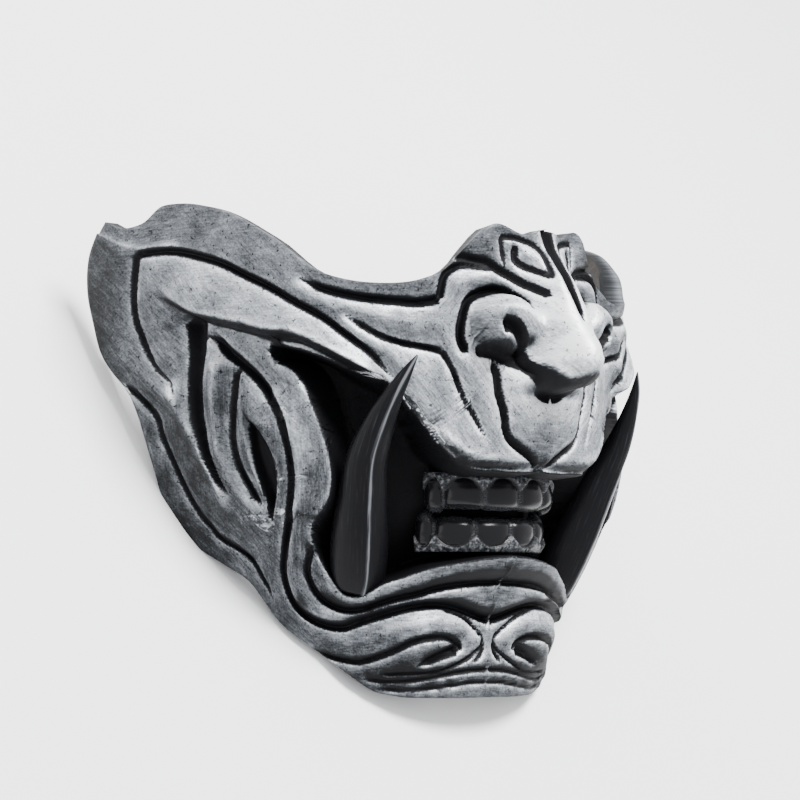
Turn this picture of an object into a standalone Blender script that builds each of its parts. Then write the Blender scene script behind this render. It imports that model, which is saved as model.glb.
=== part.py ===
"""Oni half mask: a cast shell for the lower face, with teeth and two tusks.

The mask is modelled as it is worn: X runs across the face, the front looks along -Y and Z is up.
It is then laid down on its own back rim, face up, as it rests on a table.

A place on the shell is given by two shares. "round" runs from 0 in the middle of the face to 1 at
the back edge, and "up" runs from 0 at the bottom of the chin to 1 at the top of the side wings.
"""
import math

import bmesh
import bpy
import numpy as np
from mathutils import Matrix, Vector
from mathutils.bvhtree import BVHTree

# Driving sizes of the cast shell, in metres
HEIGHT = 0.147
WIDTH = 0.168
BACK_REACH = 0.116
CHIN_SETBACK = 0.026
WALL = 0.0042
TRIM = 0.0011
GAP = 0.0003
SEAT_TRAVEL = 0.008

# Relief, in metres
NOSE_REACH = 0.020
NOSTRIL_REACH = 0.0115
NOSE_EDGE_WIDTH = 0.0019
MOUTH_DEPTH = 0.0225
MOUTH_WALL = 0.0026
LIP_BEVEL = 0.0030
BAND_RISE = 0.0042
BAND_RISE_REACH = 0.0134
BAND_FALL = 0.0050
BAND_FALL_REACH = 0.0110
LENS_DEPTH = 0.0055
LENS_WALL = 0.0023
CURL_RISE = 0.0038
STRIP_RISE = 0.0022
STRIP_REACH = 0.0034
JAW_TUCK = 0.0045
CUT_WIDTH = 0.0038
CUT_DEPTH = 0.0019
SHOULDER_DEPTH = 0.0011
SHOULDER_REACH = 0.0042

# Runs over which the carving fades out, as shares of a line's length
CUT_FADE = 0.08
BAND_FADE_START = 0.10
BAND_FADE_END = 0.25

# Teeth and tusks, in metres
ARCH_RADIUS = 0.028
TOOTH_RISE = 0.0022
GUM_THICKNESS = 0.0042
UPPER_FRONT = 0.008
UPPER_TIP = 0.0552
UPPER_HEIGHT = 0.0070
LOWER_FRONT = 0.0145
LOWER_FOOT = 0.0458
LOWER_HEIGHT = 0.0078
TUSK_LENGTH_UP = 0.0625
TUSK_FOOT = 0.0350
TUSK_WIDTH = 0.0148
TUSK_THICKNESS = 0.0108

# Shape of the teeth and tusks: ridge as a share of the thickness and its half angle in radians,
# sideways turn of a tusk's front, squareness of a tooth's plan, thinnest gum as a share
TUSK_RIDGE = 0.18
TUSK_RIDGE_ANGLE = 0.45
TUSK_TURN = 0.35
TOOTH_SQUARENESS = 2.6
THINNEST_GUM = 0.2

# Search for the resting angle, in degrees
TILT_LOW = 30.0
TILT_HIGH = 80.0

# Faces of the meshes
OUTER_ROUND = 84
OUTER_UP = 51
INNER_EVERY = 3
TUSK_SIDES = 10
TUSK_RINGS = 13
STATIONS_PER_TOOTH = 6

# Plan of the form: up, share of the half width, share of the back reach, fullness of its corners
SIDE_SECTIONS = (
    (0.000, 0.655, 0.759, 0.00),
    (0.075, 0.714, 0.776, 0.00),
    (0.218, 0.827, 0.862, 0.04),
    (0.313, 0.905, 0.931, 0.08),
    (0.435, 0.952, 0.974, 0.11),
    (0.619, 0.994, 1.000, 0.11),
    (0.728, 1.000, 1.000, 0.11),
    (1.000, 1.000, 1.000, 0.11),
)

# Profile down the middle of the face: up, share of the chin's setback behind the upper lip
FRONT_PROFILE = (
    (0.000, 1.000),
    (0.054, 0.923),
    (0.116, 0.923),
    (0.184, 0.865),
    (0.224, 0.731),
    (0.265, 0.577),
    (0.313, 0.385),
    (0.456, 0.000),
    (0.544, -0.077),
    (0.680, -0.115),
    (0.816, -0.115),
    (1.000, -0.115),
)

# Outline of the shell, each row round and up
TOP_RIM = (
    (0.000, 0.940), (0.060, 0.926), (0.135, 0.945), (0.200, 0.895), (0.235, 0.857),
    (0.300, 0.828), (0.400, 0.819), (0.500, 0.840), (0.600, 0.915), (0.700, 0.975),
    (0.800, 1.000), (0.835, 1.000), (0.880, 0.970), (0.935, 0.968), (0.965, 0.985),
)
BACK_EDGE = (
    (0.915, 0.635), (0.965, 0.710), (0.983, 0.770), (1.000, 0.845), (0.998, 0.910), (0.965, 0.985),
)
JAW_EDGE = (
    (0.000, 0.000), (0.200, 0.000), (0.350, 0.005), (0.415, 0.015), (0.480, 0.045),
    (0.540, 0.080), (0.600, 0.120), (0.640, 0.155), (0.665, 0.197), (0.690, 0.235),
    (0.742, 0.270), (0.793, 0.305), (0.822, 0.350), (0.856, 0.410), (0.863, 0.500),
    (0.880, 0.570), (0.915, 0.635),
)

# Lines of the carving, each row round and up
CHEEK_LINE = (
    (0.365, 0.640), (0.450, 0.715), (0.550, 0.781), (0.700, 0.868), (0.800, 0.902),
    (0.886, 0.904), (0.893, 0.845), (0.889, 0.775), (0.861, 0.697), (0.800, 0.612),
)
BAND_EDGE = (
    (0.368, 0.620), (0.450, 0.660), (0.550, 0.708), (0.650, 0.732), (0.750, 0.764), (0.845, 0.835),
)
MOUTH_EDGE = (
    (0.000, 0.455), (0.080, 0.450), (0.155, 0.452), (0.210, 0.468), (0.250, 0.497),
    (0.300, 0.550), (0.340, 0.600), (0.385, 0.622), (0.450, 0.648), (0.550, 0.690),
    (0.610, 0.700), (0.600, 0.668), (0.552, 0.640), (0.520, 0.575), (0.495, 0.500),
    (0.484, 0.430), (0.500, 0.368), (0.520, 0.325), (0.500, 0.275), (0.463, 0.223),
    (0.418, 0.203), (0.375, 0.213), (0.303, 0.238), (0.218, 0.260), (0.115, 0.275),
    (0.000, 0.284),
)
UPPER_LIP_FROM_UP = 0.44
UPPER_LIP_TO_ROUND = 0.34
UPPER_LIP_FADE_UP = 0.02
UPPER_LIP_FADE_ROUND = 0.03
JAW_CREST = (
    (0.826, 0.635), (0.782, 0.560), (0.745, 0.472), (0.700, 0.373), (0.690, 0.357),
)
JAW_LINE = (
    (0.915, 0.640), (0.845, 0.563), (0.825, 0.483), (0.789, 0.391), (0.735, 0.322),
    (0.683, 0.291), (0.650, 0.240),
)
LENS_VALLEY = (
    (0.775, 0.775), (0.762, 0.690), (0.760, 0.600), (0.743, 0.495), (0.717, 0.427),
)
LENS_HOLE = (
    (0.662, 0.567), (0.666, 0.530), (0.655, 0.463), (0.625, 0.390), (0.610, 0.345),
    (0.600, 0.385), (0.5985, 0.440), (0.617, 0.508), (0.662, 0.567),
)
CHEEK_FOLD = (
    (0.750, 0.730), (0.678, 0.674), (0.617, 0.612), (0.575, 0.515), (0.567, 0.410),
    (0.584, 0.290), (0.587, 0.200), (0.517, 0.149), (0.430, 0.150), (0.328, 0.171),
    (0.198, 0.188), (0.118, 0.181), (0.035, 0.163), (0.000, 0.158),
)
LIP_FOLD = (
    (0.522, 0.310), (0.535, 0.250), (0.486, 0.189), (0.423, 0.177), (0.353, 0.189),
    (0.247, 0.208), (0.152, 0.227), (0.043, 0.234), (0.000, 0.235),
)
CURL_EDGE = (
    (0.168, 0.178), (0.094, 0.160), (0.040, 0.132), (0.028, 0.105), (0.078, 0.081),
    (0.153, 0.061), (0.245, 0.051), (0.388, 0.049),
)
CURL_LINE = (
    (0.560, 0.092), (0.447, 0.073), (0.366, 0.087), (0.280, 0.111), (0.200, 0.122),
    (0.130, 0.114), (0.118, 0.098), (0.183, 0.087), (0.268, 0.064),
)
EYE_RIM_LINE = (
    (0.541, 0.828), (0.475, 0.800), (0.400, 0.787), (0.300, 0.783), (0.257, 0.795),
    (0.250, 0.826), (0.219, 0.856), (0.150, 0.855),
)
LIP_SEAM = (
    (0.450, 0.753), (0.375, 0.710), (0.300, 0.695), (0.253, 0.686), (0.223, 0.637),
    (0.190, 0.568), (0.148, 0.514),
)
LIP_PANEL = (
    (0.142, 0.665), (0.118, 0.583), (0.105, 0.532), (0.080, 0.504), (0.008, 0.460),
)
BROW_LINE = (
    (0.233, 0.875), (0.176, 0.870), (0.124, 0.852), (0.075, 0.803),
)
NOSE_EDGE = (
    (0.000, 0.609), (0.035, 0.612), (0.063, 0.626), (0.077, 0.653), (0.095, 0.673),
    (0.140, 0.690), (0.183, 0.694), (0.206, 0.715), (0.207, 0.755), (0.190, 0.792),
    (0.150, 0.808), (0.112, 0.808), (0.069, 0.785),
)
NOSE_TOP = 0.86
NOSE_FOOT = 0.60
NOSE_FOOT_FADE = 0.02
NOSTRIL_LINE = (
    (0.160, 0.738), (0.128, 0.735), (0.111, 0.716), (0.095, 0.694), (0.075, 0.657), (0.040, 0.640),
)

# Cuts of the carving: line, share of the cut's width, share of its depth
CUTS = (
    (NOSTRIL_LINE, 1.2, 1.6),
    (CHEEK_LINE, 1.0, 1.0),
    (JAW_LINE, 0.9, 0.9),
    (LENS_VALLEY, 1.6, 1.5),
    (CHEEK_FOLD, 1.1, 1.2),
    (LIP_FOLD, 1.0, 1.1),
    (CURL_EDGE, 0.9, 1.0),
    (CURL_LINE, 0.9, 1.0),
    (EYE_RIM_LINE, 1.0, 0.8),
    (LIP_SEAM, 0.8, 0.7),
    (LIP_PANEL, 0.9, 0.8),
    (BROW_LINE, 0.9, 0.9),
)

# Swellings: middle round, middle up, reach round, reach up, slant in degrees, named height
SWELLINGS = (
    (0.245, 0.118, 0.200, 0.062, -8.0, CURL_RISE),
    (0.555, 0.520, 0.040, 0.190, 0.0, STRIP_RISE),
    (0.560, 0.250, 0.045, 0.110, 0.0, STRIP_RISE),
    (0.330, 0.275, 0.200, 0.075, 0.0, -JAW_TUCK),
)

# Domes of the nose: middle round, middle up, reach round, reach up, named height
NOSE_DOMES = (
    (0.000, 0.660, 0.080, 0.080, NOSE_REACH),
    (0.136, 0.744, 0.082, 0.070, NOSTRIL_REACH),
)

# Bridge of the nose: up, share of the nose's reach at the middle, half width as a share round
NOSE_BRIDGE = (
    (0.560, 0.00, 0.070),
    (0.640, 0.80, 0.080),
    (0.680, 0.95, 0.085),
    (0.745, 0.84, 0.090),
    (0.800, 0.69, 0.095),
    (0.845, 0.50, 0.100),
    (0.890, 0.24, 0.100),
    (0.940, 0.04, 0.100),
    (1.000, 0.00, 0.100),
)

# Teeth of one side of the arch: middle and half width in degrees, share of the strip's height
UPPER_TEETH = (
    (12.8, 12.8, 1.00),
    (38.2, 12.6, 0.92),
    (57.0, 6.0, 1.12),
)
LOWER_TEETH = (
    (12.8, 12.8, 1.00),
    (38.2, 12.6, 1.05),
    (57.0, 6.0, 1.45),
)

# Section of a teeth strip: share of its height from the tips, share of the gum's thickness out of
# the back, share of the teeth's rise
STRIP_SECTION = (
    (0.00, 0.42, 0.0),
    (0.06, 0.80, 0.6),
    (0.30, 1.00, 1.0),
    (0.62, 0.96, 0.8),
    (0.78, 1.00, 0.0),
    (1.00, 1.00, 0.0),
    (1.00, 0.00, 0.0),
    (0.10, 0.00, 0.0),
)

# Tusk: share of its rise, place across as a share of the mask's half width, place back as a share
# of the back reach, share of the tusk's full width
TUSK_STATIONS = (
    (0.00, 0.458, 0.340, 0.80),
    (0.10, 0.476, 0.323, 0.95),
    (0.36, 0.526, 0.259, 0.96),
    (0.54, 0.552, 0.207, 0.90),
    (0.67, 0.562, 0.151, 0.74),
    (0.81, 0.560, 0.093, 0.46),
    (0.92, 0.548, 0.052, 0.25),
    (1.00, 0.533, 0.029, 0.05),
)

# Finishes: colour, roughness, metallic
SILVERED = ((0.42, 0.43, 0.45), 0.50, 0.25)
BLACK_ENAMEL = ((0.022, 0.022, 0.024), 0.34, 0.0)


def through_rows(stations, values, at):
    """Smooth curve through the rows: cubic pieces with slopes taken from the neighbouring rows."""
    stations = np.asarray(stations, float)
    values = np.asarray(values, float)
    slopes = np.gradient(values, stations)
    row = np.clip(np.searchsorted(stations, at) - 1, 0, len(stations) - 2)
    span = stations[row + 1] - stations[row]
    t = np.clip((at - stations[row]) / span, 0.0, 1.0)
    start = (2 * t**3 - 3 * t**2 + 1) * values[row] + (t**3 - 2 * t**2 + t) * span * slopes[row]
    end = (3 * t**2 - 2 * t**3) * values[row + 1] + (t**3 - t**2) * span * slopes[row + 1]
    return start + end


def smooth_path(rows, count):
    """Points at equal steps along the smooth curve through an outline's rows."""
    rows = np.asarray(rows, float)
    knots = np.concatenate([[0.0], np.cumsum(np.hypot(*np.diff(rows, axis=0).T))])
    fine = np.linspace(0.0, knots[-1], 8 * count)
    points = np.stack([through_rows(knots, rows[:, axis], fine) for axis in (0, 1)], axis=1)
    travelled = np.concatenate([[0.0], np.cumsum(np.hypot(*np.diff(points, axis=0).T))])
    steps = np.linspace(0.0, travelled[-1], count)
    return np.stack([np.interp(steps, travelled, points[:, axis]) for axis in (0, 1)], axis=1)


def ease(value):
    """Soft step from 0 to 1."""
    value = np.clip(value, 0.0, 1.0)
    return value * value * (3.0 - 2.0 * value)


def form(around, up):
    """Points of the plain form without its carving."""
    rows = np.array(SIDE_SECTIONS)
    half_width = through_rows(rows[:, 0], rows[:, 1], up) * WIDTH / 2.0
    back = through_rows(rows[:, 0], rows[:, 2], up) * BACK_REACH
    fullness = through_rows(rows[:, 0], rows[:, 3], up)
    profile = np.array(FRONT_PROFILE)
    front = through_rows(profile[:, 0], profile[:, 1], up) * CHIN_SETBACK
    turn = np.abs(around) * math.pi / 2.0
    across = np.sin(turn) * (1.0 + fullness * np.cos(turn) ** 2)
    depth = 1.0 - np.cos(turn) * (1.0 + fullness * np.sin(turn) ** 2)
    return np.stack([np.sign(around) * half_width * across,
                     front + (back - front) * depth,
                     up * HEIGHT], axis=-1)


def outward(around, up):
    """Level unit directions out of the plain form, square to its plan."""
    step = 0.002
    side = np.where(around < 0.0, -1.0, 1.0)
    around = np.abs(around)
    along = form(around + step, up) - form(np.maximum(around - step, 1e-6), up)
    direction = np.stack([side * along[..., 1], -along[..., 0], np.zeros_like(around)], axis=-1)
    return direction / np.linalg.norm(direction, axis=-1, keepdims=True)


def arc_length():
    """Length of the plain form from the middle of the face to the back edge, halfway up."""
    around = np.linspace(0.0, 1.0, 200)
    points = form(around, np.full_like(around, 0.6))
    return np.linalg.norm(np.diff(points, axis=0), axis=1).sum()


ARC = arc_length()


def to_lengths(rows, count):
    """An outline's smooth path as lengths along and up the form."""
    return smooth_path(rows, count) * (ARC, HEIGHT)


def measure(path, across, height):
    """Distance to a path, the side of it (1 on the left, -1 on the right) and the share along it."""
    nearest = np.full(across.shape, np.inf)
    side = np.ones(across.shape)
    along = np.zeros(across.shape)
    last = len(path) - 1
    for index in range(last):
        start = path[index]
        run = path[index + 1] - start
        share = ((across - start[0]) * run[0] + (height - start[1]) * run[1]) / (run @ run)
        share = np.clip(share, 0.0, 1.0)
        off_across = across - start[0] - share * run[0]
        off_height = height - start[1] - share * run[1]
        distance = np.hypot(off_across, off_height)
        closer = distance < nearest
        nearest = np.where(closer, distance, nearest)
        turn = run[0] * off_height - run[1] * off_across
        side = np.where(closer, np.where(turn >= 0.0, 1.0, -1.0), side)
        along = np.where(closer, (index + share) / last, along)
    return nearest, side, along


def within(path, across, height):
    """True inside a closed path, by counting the edges crossed on the way out."""
    inside = np.zeros(across.shape, bool)
    for start, end in zip(path, np.roll(path, -1, axis=0)):
        if start[1] == end[1]:
            continue
        spans = (start[1] > height) != (end[1] > height)
        crossing = start[0] + (height - start[1]) * (end[0] - start[0]) / (end[1] - start[1])
        inside ^= spans & (across < crossing)
    return inside


def depth_inside(rows, across, height):
    """Distance inside a half outline that starts and ends on the middle line, negative outside."""
    path = to_lengths(rows, 90)
    closed = np.concatenate([[[-ARC, path[0][1]]], path, [[-ARC, path[-1][1]]]])
    distance = measure(path, across, height)[0]
    return np.where(within(closed, across, height), distance, -distance)


def nose(around, up, across, height):
    """The nose: its bridge, and the tip and nostril domes cut off along the nose's edge."""
    rows = np.array(NOSE_BRIDGE)
    reach = np.maximum(through_rows(rows[:, 0], rows[:, 1], up) * NOSE_REACH, 0.0)
    bridge = reach * np.exp(-(around / through_rows(rows[:, 0], rows[:, 2], up)) ** 2)
    domes = np.zeros_like(around)
    for middle, level, wide, tall, rise in NOSE_DOMES:
        off = ((around - middle) / wide) ** 2 + ((up - level) / tall) ** 2
        domes += (rise * np.sqrt(np.clip(1.0 - off, 0.0, 1.0))) ** 4
    edge = to_lengths(NOSE_EDGE, 60)
    top = NOSE_TOP * HEIGHT
    closed = np.concatenate([[[-ARC, edge[0][1]]], edge, [[0.0, top], [-ARC, top]]])
    distance = measure(edge, across, height)[0]
    inside = ease(np.where(within(closed, across, height), distance, 0.0) / NOSE_EDGE_WIDTH)
    below = ease((up - NOSE_FOOT) / NOSE_FOOT_FADE)
    return (domes * inside**4 + (bridge * below) ** 4) ** 0.25


def relief(around, up):
    """Height of the carved surface over the plain form."""
    around = np.abs(around)
    across = around * ARC
    height = up * HEIGHT
    rise = nose(around, up, across, height)
    for middle, level, wide, tall, slant, swell in SWELLINGS:
        turn = math.radians(slant)
        off_across = (around - middle) * ARC
        off_height = (up - level) * HEIGHT
        first = (off_across * math.cos(turn) + off_height * math.sin(turn)) / (wide * ARC)
        second = (off_height * math.cos(turn) - off_across * math.sin(turn)) / (tall * HEIGHT)
        rise += swell * np.exp(-2.0 * (first**2 + second**2))
    for line, width, depth in CUTS:
        distance, side, along = measure(to_lengths(line, 40), across, height)
        fade = ease(along / CUT_FADE) * ease((1.0 - along) / CUT_FADE)
        groove = np.maximum(1.0 - distance / (0.5 * CUT_WIDTH * width), 0.0)
        shoulder = np.exp(-distance / SHOULDER_REACH)
        rise -= fade * (CUT_DEPTH * depth * groove + SHOULDER_DEPTH * shoulder)
    distance, side, along = measure(to_lengths(BAND_EDGE, 40), across, height)
    fade = ease(along / BAND_FADE_START) * ease((1.0 - along) / BAND_FADE_END)
    above = ease(side * distance / MOUTH_WALL + 0.5)
    high = BAND_RISE * np.exp(-distance / BAND_RISE_REACH)
    low = BAND_FALL * np.exp(-distance / BAND_FALL_REACH)
    rise += fade * (above * high - (1.0 - above) * low)
    crest = measure(to_lengths(JAW_CREST, 20), across, height)[0]
    rise += STRIP_RISE * np.exp(-(crest / STRIP_REACH) ** 2)
    hole = to_lengths(LENS_HOLE, 40)
    hollow = np.where(within(hole, across, height), measure(hole, across, height)[0], 0.0)
    rise -= LENS_DEPTH * ease(hollow / LENS_WALL)
    mouth = depth_inside(MOUTH_EDGE, across, height)
    lip = (ease((up - UPPER_LIP_FROM_UP) / UPPER_LIP_FADE_UP)
           * ease((UPPER_LIP_TO_ROUND - around) / UPPER_LIP_FADE_ROUND))
    rise -= lip * LIP_BEVEL * ease(1.0 + mouth / LIP_BEVEL)
    floor = ease(mouth / MOUTH_WALL)
    return rise * (1.0 - floor) - MOUTH_DEPTH * floor


def outline_place(u, v):
    """Place in shares for a grid position: a patch stretched between the outline's four edges."""
    side = np.sign(u)
    u = np.abs(u)
    samples = 200
    steps = np.linspace(0.0, 1.0, samples)
    bottom = smooth_path(JAW_EDGE, samples)
    top = smooth_path(TOP_RIM, samples)
    back = smooth_path(BACK_EDGE, samples)
    place = []
    for axis in (0, 1):
        low = np.interp(u, steps, bottom[:, axis])
        high = np.interp(u, steps, top[:, axis])
        far = np.interp(v, steps, back[:, axis])
        middle = bottom[0, axis] + v * (top[0, axis] - bottom[0, axis])
        corners = ((1 - u) * ((1 - v) * bottom[0, axis] + v * top[0, axis])
                   + u * ((1 - v) * bottom[-1, axis] + v * top[-1, axis]))
        place.append((1 - v) * low + v * high + (1 - u) * middle + u * far - corners)
    return side * place[0], place[1]


def carved(around, up, lift):
    """Points of the form raised by a lift along its own outward direction."""
    return form(around, up) + lift[..., None] * outward(around, up)


def soften(values, rounds):
    """Average each value with its neighbours, keeping the edges in place."""
    for _ in range(rounds):
        padded = np.pad(values, 1, mode="edge")
        values = (2 * padded[1:-1, 1:-1] + padded[:-2, 1:-1] + padded[2:, 1:-1]
                  + padded[1:-1, :-2] + padded[1:-1, 2:]) / 6.0
    return values


def respaced(values, cells):
    """Grid lines moved so that each cell of a row spans an equal share of its surface."""
    out = np.empty_like(values)
    for line in range(values.shape[1]):
        travelled = np.concatenate([[0.0], np.cumsum(cells[:, line])])
        even = np.linspace(0.0, travelled[-1], len(travelled))
        out[:, line] = np.interp(even, travelled, values[:, line])
    return out


def outer_grid():
    """Grid positions on the outer face, closer together on steep walls of the carving."""
    u, v = np.meshgrid(np.linspace(-1, 1, OUTER_ROUND + 1), np.linspace(0, 1, OUTER_UP + 1),
                       indexing="ij")
    for _ in range(2):
        around, up = outline_place(u, v)
        points = carved(around, up, relief(around, up))
        tall = soften(np.linalg.norm(np.diff(points, axis=1), axis=2), 6)
        v = respaced(v.T, tall.T).T
        around, up = outline_place(u, v)
        points = carved(around, up, relief(around, up))
        wide = soften(np.linalg.norm(np.diff(points, axis=0), axis=2), 6)
        u = respaced(u, wide)
    return u, v


def grid_faces(columns, rows, first, flip):
    """Quads between the points of a grid, numbered from the first point."""
    corner = first + np.arange((columns - 1) * rows).reshape(columns - 1, rows)[:, :-1].ravel()
    quads = np.stack([corner, corner + rows, corner + rows + 1, corner + 1], axis=1)
    return (quads[:, ::-1] if flip else quads).tolist()


def border(columns, rows, every):
    """Numbers of a grid's points round its border, taken every so many."""
    index = np.arange(columns * rows).reshape(columns, rows)
    return np.concatenate([index[:-1:every, 0], index[-1, :-1:every],
                           index[:0:-every, -1], index[0, :0:-every]])


def shell_mesh():
    """Outer face with its carving, a plainer inner face one wall behind it, and the rim between."""
    u, v = outer_grid()
    around, up = outline_place(u, v)
    lift = relief(around, up)
    outer = carved(around, up, lift)
    every = INNER_EVERY
    reach = every + 1
    padded = np.pad(lift, reach, mode="edge")
    lowest = np.min([padded[i:i + lift.shape[0], j:j + lift.shape[1]]
                     for i in range(2 * reach + 1) for j in range(2 * reach + 1)], axis=0)
    inner_lift = lowest[::every, ::every]
    inner_lift = np.minimum(inner_lift, soften(inner_lift, 2)) - WALL
    inner = carved(around[::every, ::every], up[::every, ::every], inner_lift)
    columns, rows = lift.shape
    in_columns, in_rows = inner_lift.shape
    points = np.concatenate([outer.reshape(-1, 3), inner.reshape(-1, 3)])
    faces = grid_faces(columns, rows, 0, False)
    faces += grid_faces(in_columns, in_rows, columns * rows, True)
    outside = border(columns, rows, 1)
    inside = border(in_columns, in_rows, 1) + columns * rows
    for index, near in enumerate(inside):
        following = inside[(index + 1) % len(inside)]
        edge = [outside[(every * index + step) % len(outside)] for step in range(every + 1)]
        middle = every // 2 + 1
        for step in range(every):
            apex = near if step < middle else following
            faces.append([edge[step + 1], edge[step], apex])
        faces.append([edge[middle], near, following])
    return points, faces


def tusk_mesh(side):
    """A curved horn with a sharp ridge down its front, from its foot to its point."""
    rows = np.array(TUSK_STATIONS)
    share = np.linspace(0.0, 1.0, TUSK_RINGS)
    centre = np.stack([side * through_rows(rows[:, 0], rows[:, 1], share) * WIDTH / 2.0,
                       through_rows(rows[:, 0], rows[:, 2], share) * BACK_REACH,
                       TUSK_FOOT + share * TUSK_LENGTH_UP], axis=1)
    along = np.gradient(centre, axis=0)
    along /= np.linalg.norm(along, axis=1, keepdims=True)
    facing = np.array([TUSK_TURN * side, -1.0, 0.0])
    forward = facing - (along @ facing)[:, None] * along
    forward /= np.linalg.norm(forward, axis=1, keepdims=True)
    sideways = np.cross(along, forward)
    turn = np.arange(TUSK_SIDES) * 2.0 * math.pi / TUSK_SIDES
    from_front = np.minimum(turn, 2.0 * math.pi - turn)
    ridge = 1.0 + TUSK_RIDGE * np.exp(-(from_front / TUSK_RIDGE_ANGLE) ** 2)
    half = through_rows(rows[:, 0], rows[:, 3], share)[:, None, None]
    ring = (np.cos(turn) * ridge * TUSK_THICKNESS / 2.0)[None, :, None] * forward[:, None, :]
    ring = ring + (np.sin(turn) * TUSK_WIDTH / 2.0)[None, :, None] * sideways[:, None, :]
    points = (centre[:, None, :] + half * ring).reshape(-1, 3)
    faces = []
    for level in range(TUSK_RINGS - 1):
        for step in range(TUSK_SIDES):
            here = level * TUSK_SIDES + step
            beside = level * TUSK_SIDES + (step + 1) % TUSK_SIDES
            faces.append([here, beside, beside + TUSK_SIDES, here + TUSK_SIDES])
    last = (TUSK_RINGS - 1) * TUSK_SIDES
    faces.append(list(range(TUSK_SIDES))[::-1])
    faces.append([last + step for step in range(TUSK_SIDES)])
    return points, faces


def teeth_mesh(teeth, tip, height, front, hanging):
    """A gum strip round the arch with teeth swelling from its front, hanging or standing."""
    angles = []
    swell = []
    length = []
    for middle, half, long in teeth:
        for step in range(STATIONS_PER_TOOTH):
            share = (step + 0.5) / STATIONS_PER_TOOTH * 2.0 - 1.0
            angles.append(middle + share * half)
            swell.append(math.sqrt(max(1.0 - abs(share) ** TOOTH_SQUARENESS, 0.0)))
            length.append(1.0 + (long - 1.0) * (1.0 - share * share))
    angles = np.radians(np.concatenate([-np.array(angles)[::-1], angles]))
    swell = np.concatenate([np.array(swell)[::-1], swell])
    length = np.concatenate([np.array(length)[::-1], length])
    profile = np.array(STRIP_SECTION)
    count = len(profile)
    out = profile[:, 1] * GUM_THICKNESS + (profile[:, 2] - 0.5) * TOOTH_RISE * swell[:, None]
    out = np.where(profile[:, 1] > 0.0, np.maximum(out, THINNEST_GUM * GUM_THICKNESS), 0.0)
    from_tip = profile[:, 0] * height
    reach_back = np.where(profile[:, 0] < 0.5, (length[:, None] - 1.0) * 0.5 * height, 0.0)
    level = from_tip - reach_back
    z = tip + level if hanging else tip + height - level
    radius = ARCH_RADIUS - GUM_THICKNESS + out
    x = radius * np.sin(angles)[:, None]
    y = front + ARCH_RADIUS - radius * np.cos(angles)[:, None]
    points = np.stack([x, y, z], axis=-1).reshape(-1, 3)
    faces = []
    for station in range(len(angles) - 1):
        for step in range(count):
            here = station * count + step
            beside = station * count + (step + 1) % count
            faces.append([here, beside, beside + count, here + count])
    last = (len(angles) - 1) * count
    faces.append(list(range(count))[::-1])
    faces.append([last + step for step in range(count)])
    return points, faces


def seated(points, faces, shell_points, tree, direction):
    """A piece drawn forward out of the recess and pushed back until it lies one gap from the shell."""
    direction = Vector(direction).normalized()
    step = np.array(direction)
    points = points - step * SEAT_TRAVEL
    own = BVHTree.FromPolygons([Vector(point) for point in points], faces)
    free = [tree.ray_cast(Vector(point), direction)[3] for point in points]
    free += [own.ray_cast(Vector(point), -direction)[3] for point in shell_points]
    return points + step * (min(distance for distance in free if distance is not None) - GAP)


def balance_point(points, faces):
    """Middle of a closed solid's volume."""
    corners = np.array([(face[0], face[step], face[step + 1])
                        for face in faces for step in range(1, len(face) - 1)])
    first, second, third = points[corners].transpose(1, 0, 2)
    volume = np.einsum("ij,ij->i", first, np.cross(second, third))
    return (volume[:, None] * (first + second + third)).sum(axis=0) / (4.0 * volume.sum())


def rest_tilt(points, balance):
    """Angle by which the mask leans back when it lies at rest on its jaw rim and its wings."""
    low = math.radians(TILT_LOW)
    high = math.radians(TILT_HIGH)
    for _ in range(50):
        tilt = (low + high) / 2.0
        drop = math.cos(tilt) * points[:, 2] - math.sin(tilt) * points[:, 1]
        lean = math.cos(tilt) * (points[:, 1] - balance[1]) + math.sin(tilt) * (points[:, 2] - balance[2])
        if lean[drop.argmin()] > 0.0:
            high = tilt
        else:
            low = tilt
    return tilt


def finish(name, colour, roughness, metallic):
    """A paint finish."""
    material = bpy.data.materials.new(name)
    material.use_nodes = True
    shader = material.node_tree.nodes["Principled BSDF"]
    shader.inputs["Base Color"].default_value = (*colour, 1.0)
    shader.inputs["Roughness"].default_value = roughness
    shader.inputs["Metallic"].default_value = metallic
    return material


def add_piece(name, points, faces, paint, rest):
    """One closed piece of the mask, hung on the empty that lays the mask down."""
    mesh = bpy.data.meshes.new(name)
    mesh.from_pydata([tuple(point) for point in points], [], faces)
    shape = bmesh.new()
    shape.from_mesh(mesh)
    bmesh.ops.triangulate(shape, faces=shape.faces, quad_method="SHORT_EDGE")
    bmesh.ops.recalc_face_normals(shape, faces=shape.faces)
    shape.to_mesh(mesh)
    shape.free()
    mesh.materials.append(finish(name + "_paint", *paint))
    piece = bpy.data.objects.new(name, mesh)
    bpy.context.scene.collection.objects.link(piece)
    piece.parent = rest
    return piece


def grind_flat(piece, tilt, level):
    """Cut the rim flat where the mask lies on the table."""
    shape = bmesh.new()
    shape.from_mesh(piece.data)
    up = Vector((0.0, -math.sin(tilt), math.cos(tilt)))
    whole = list(shape.verts) + list(shape.edges) + list(shape.faces)
    cut = bmesh.ops.bisect_plane(shape, geom=whole, dist=1e-7, plane_co=up * level, plane_no=up,
                                 clear_inner=True)
    edges = [item for item in cut["geom_cut"] if isinstance(item, bmesh.types.BMEdge)]
    bmesh.ops.holes_fill(shape, edges=edges, sides=0)
    bmesh.ops.recalc_face_normals(shape, faces=shape.faces)
    shape.to_mesh(piece.data)
    shape.free()


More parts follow.
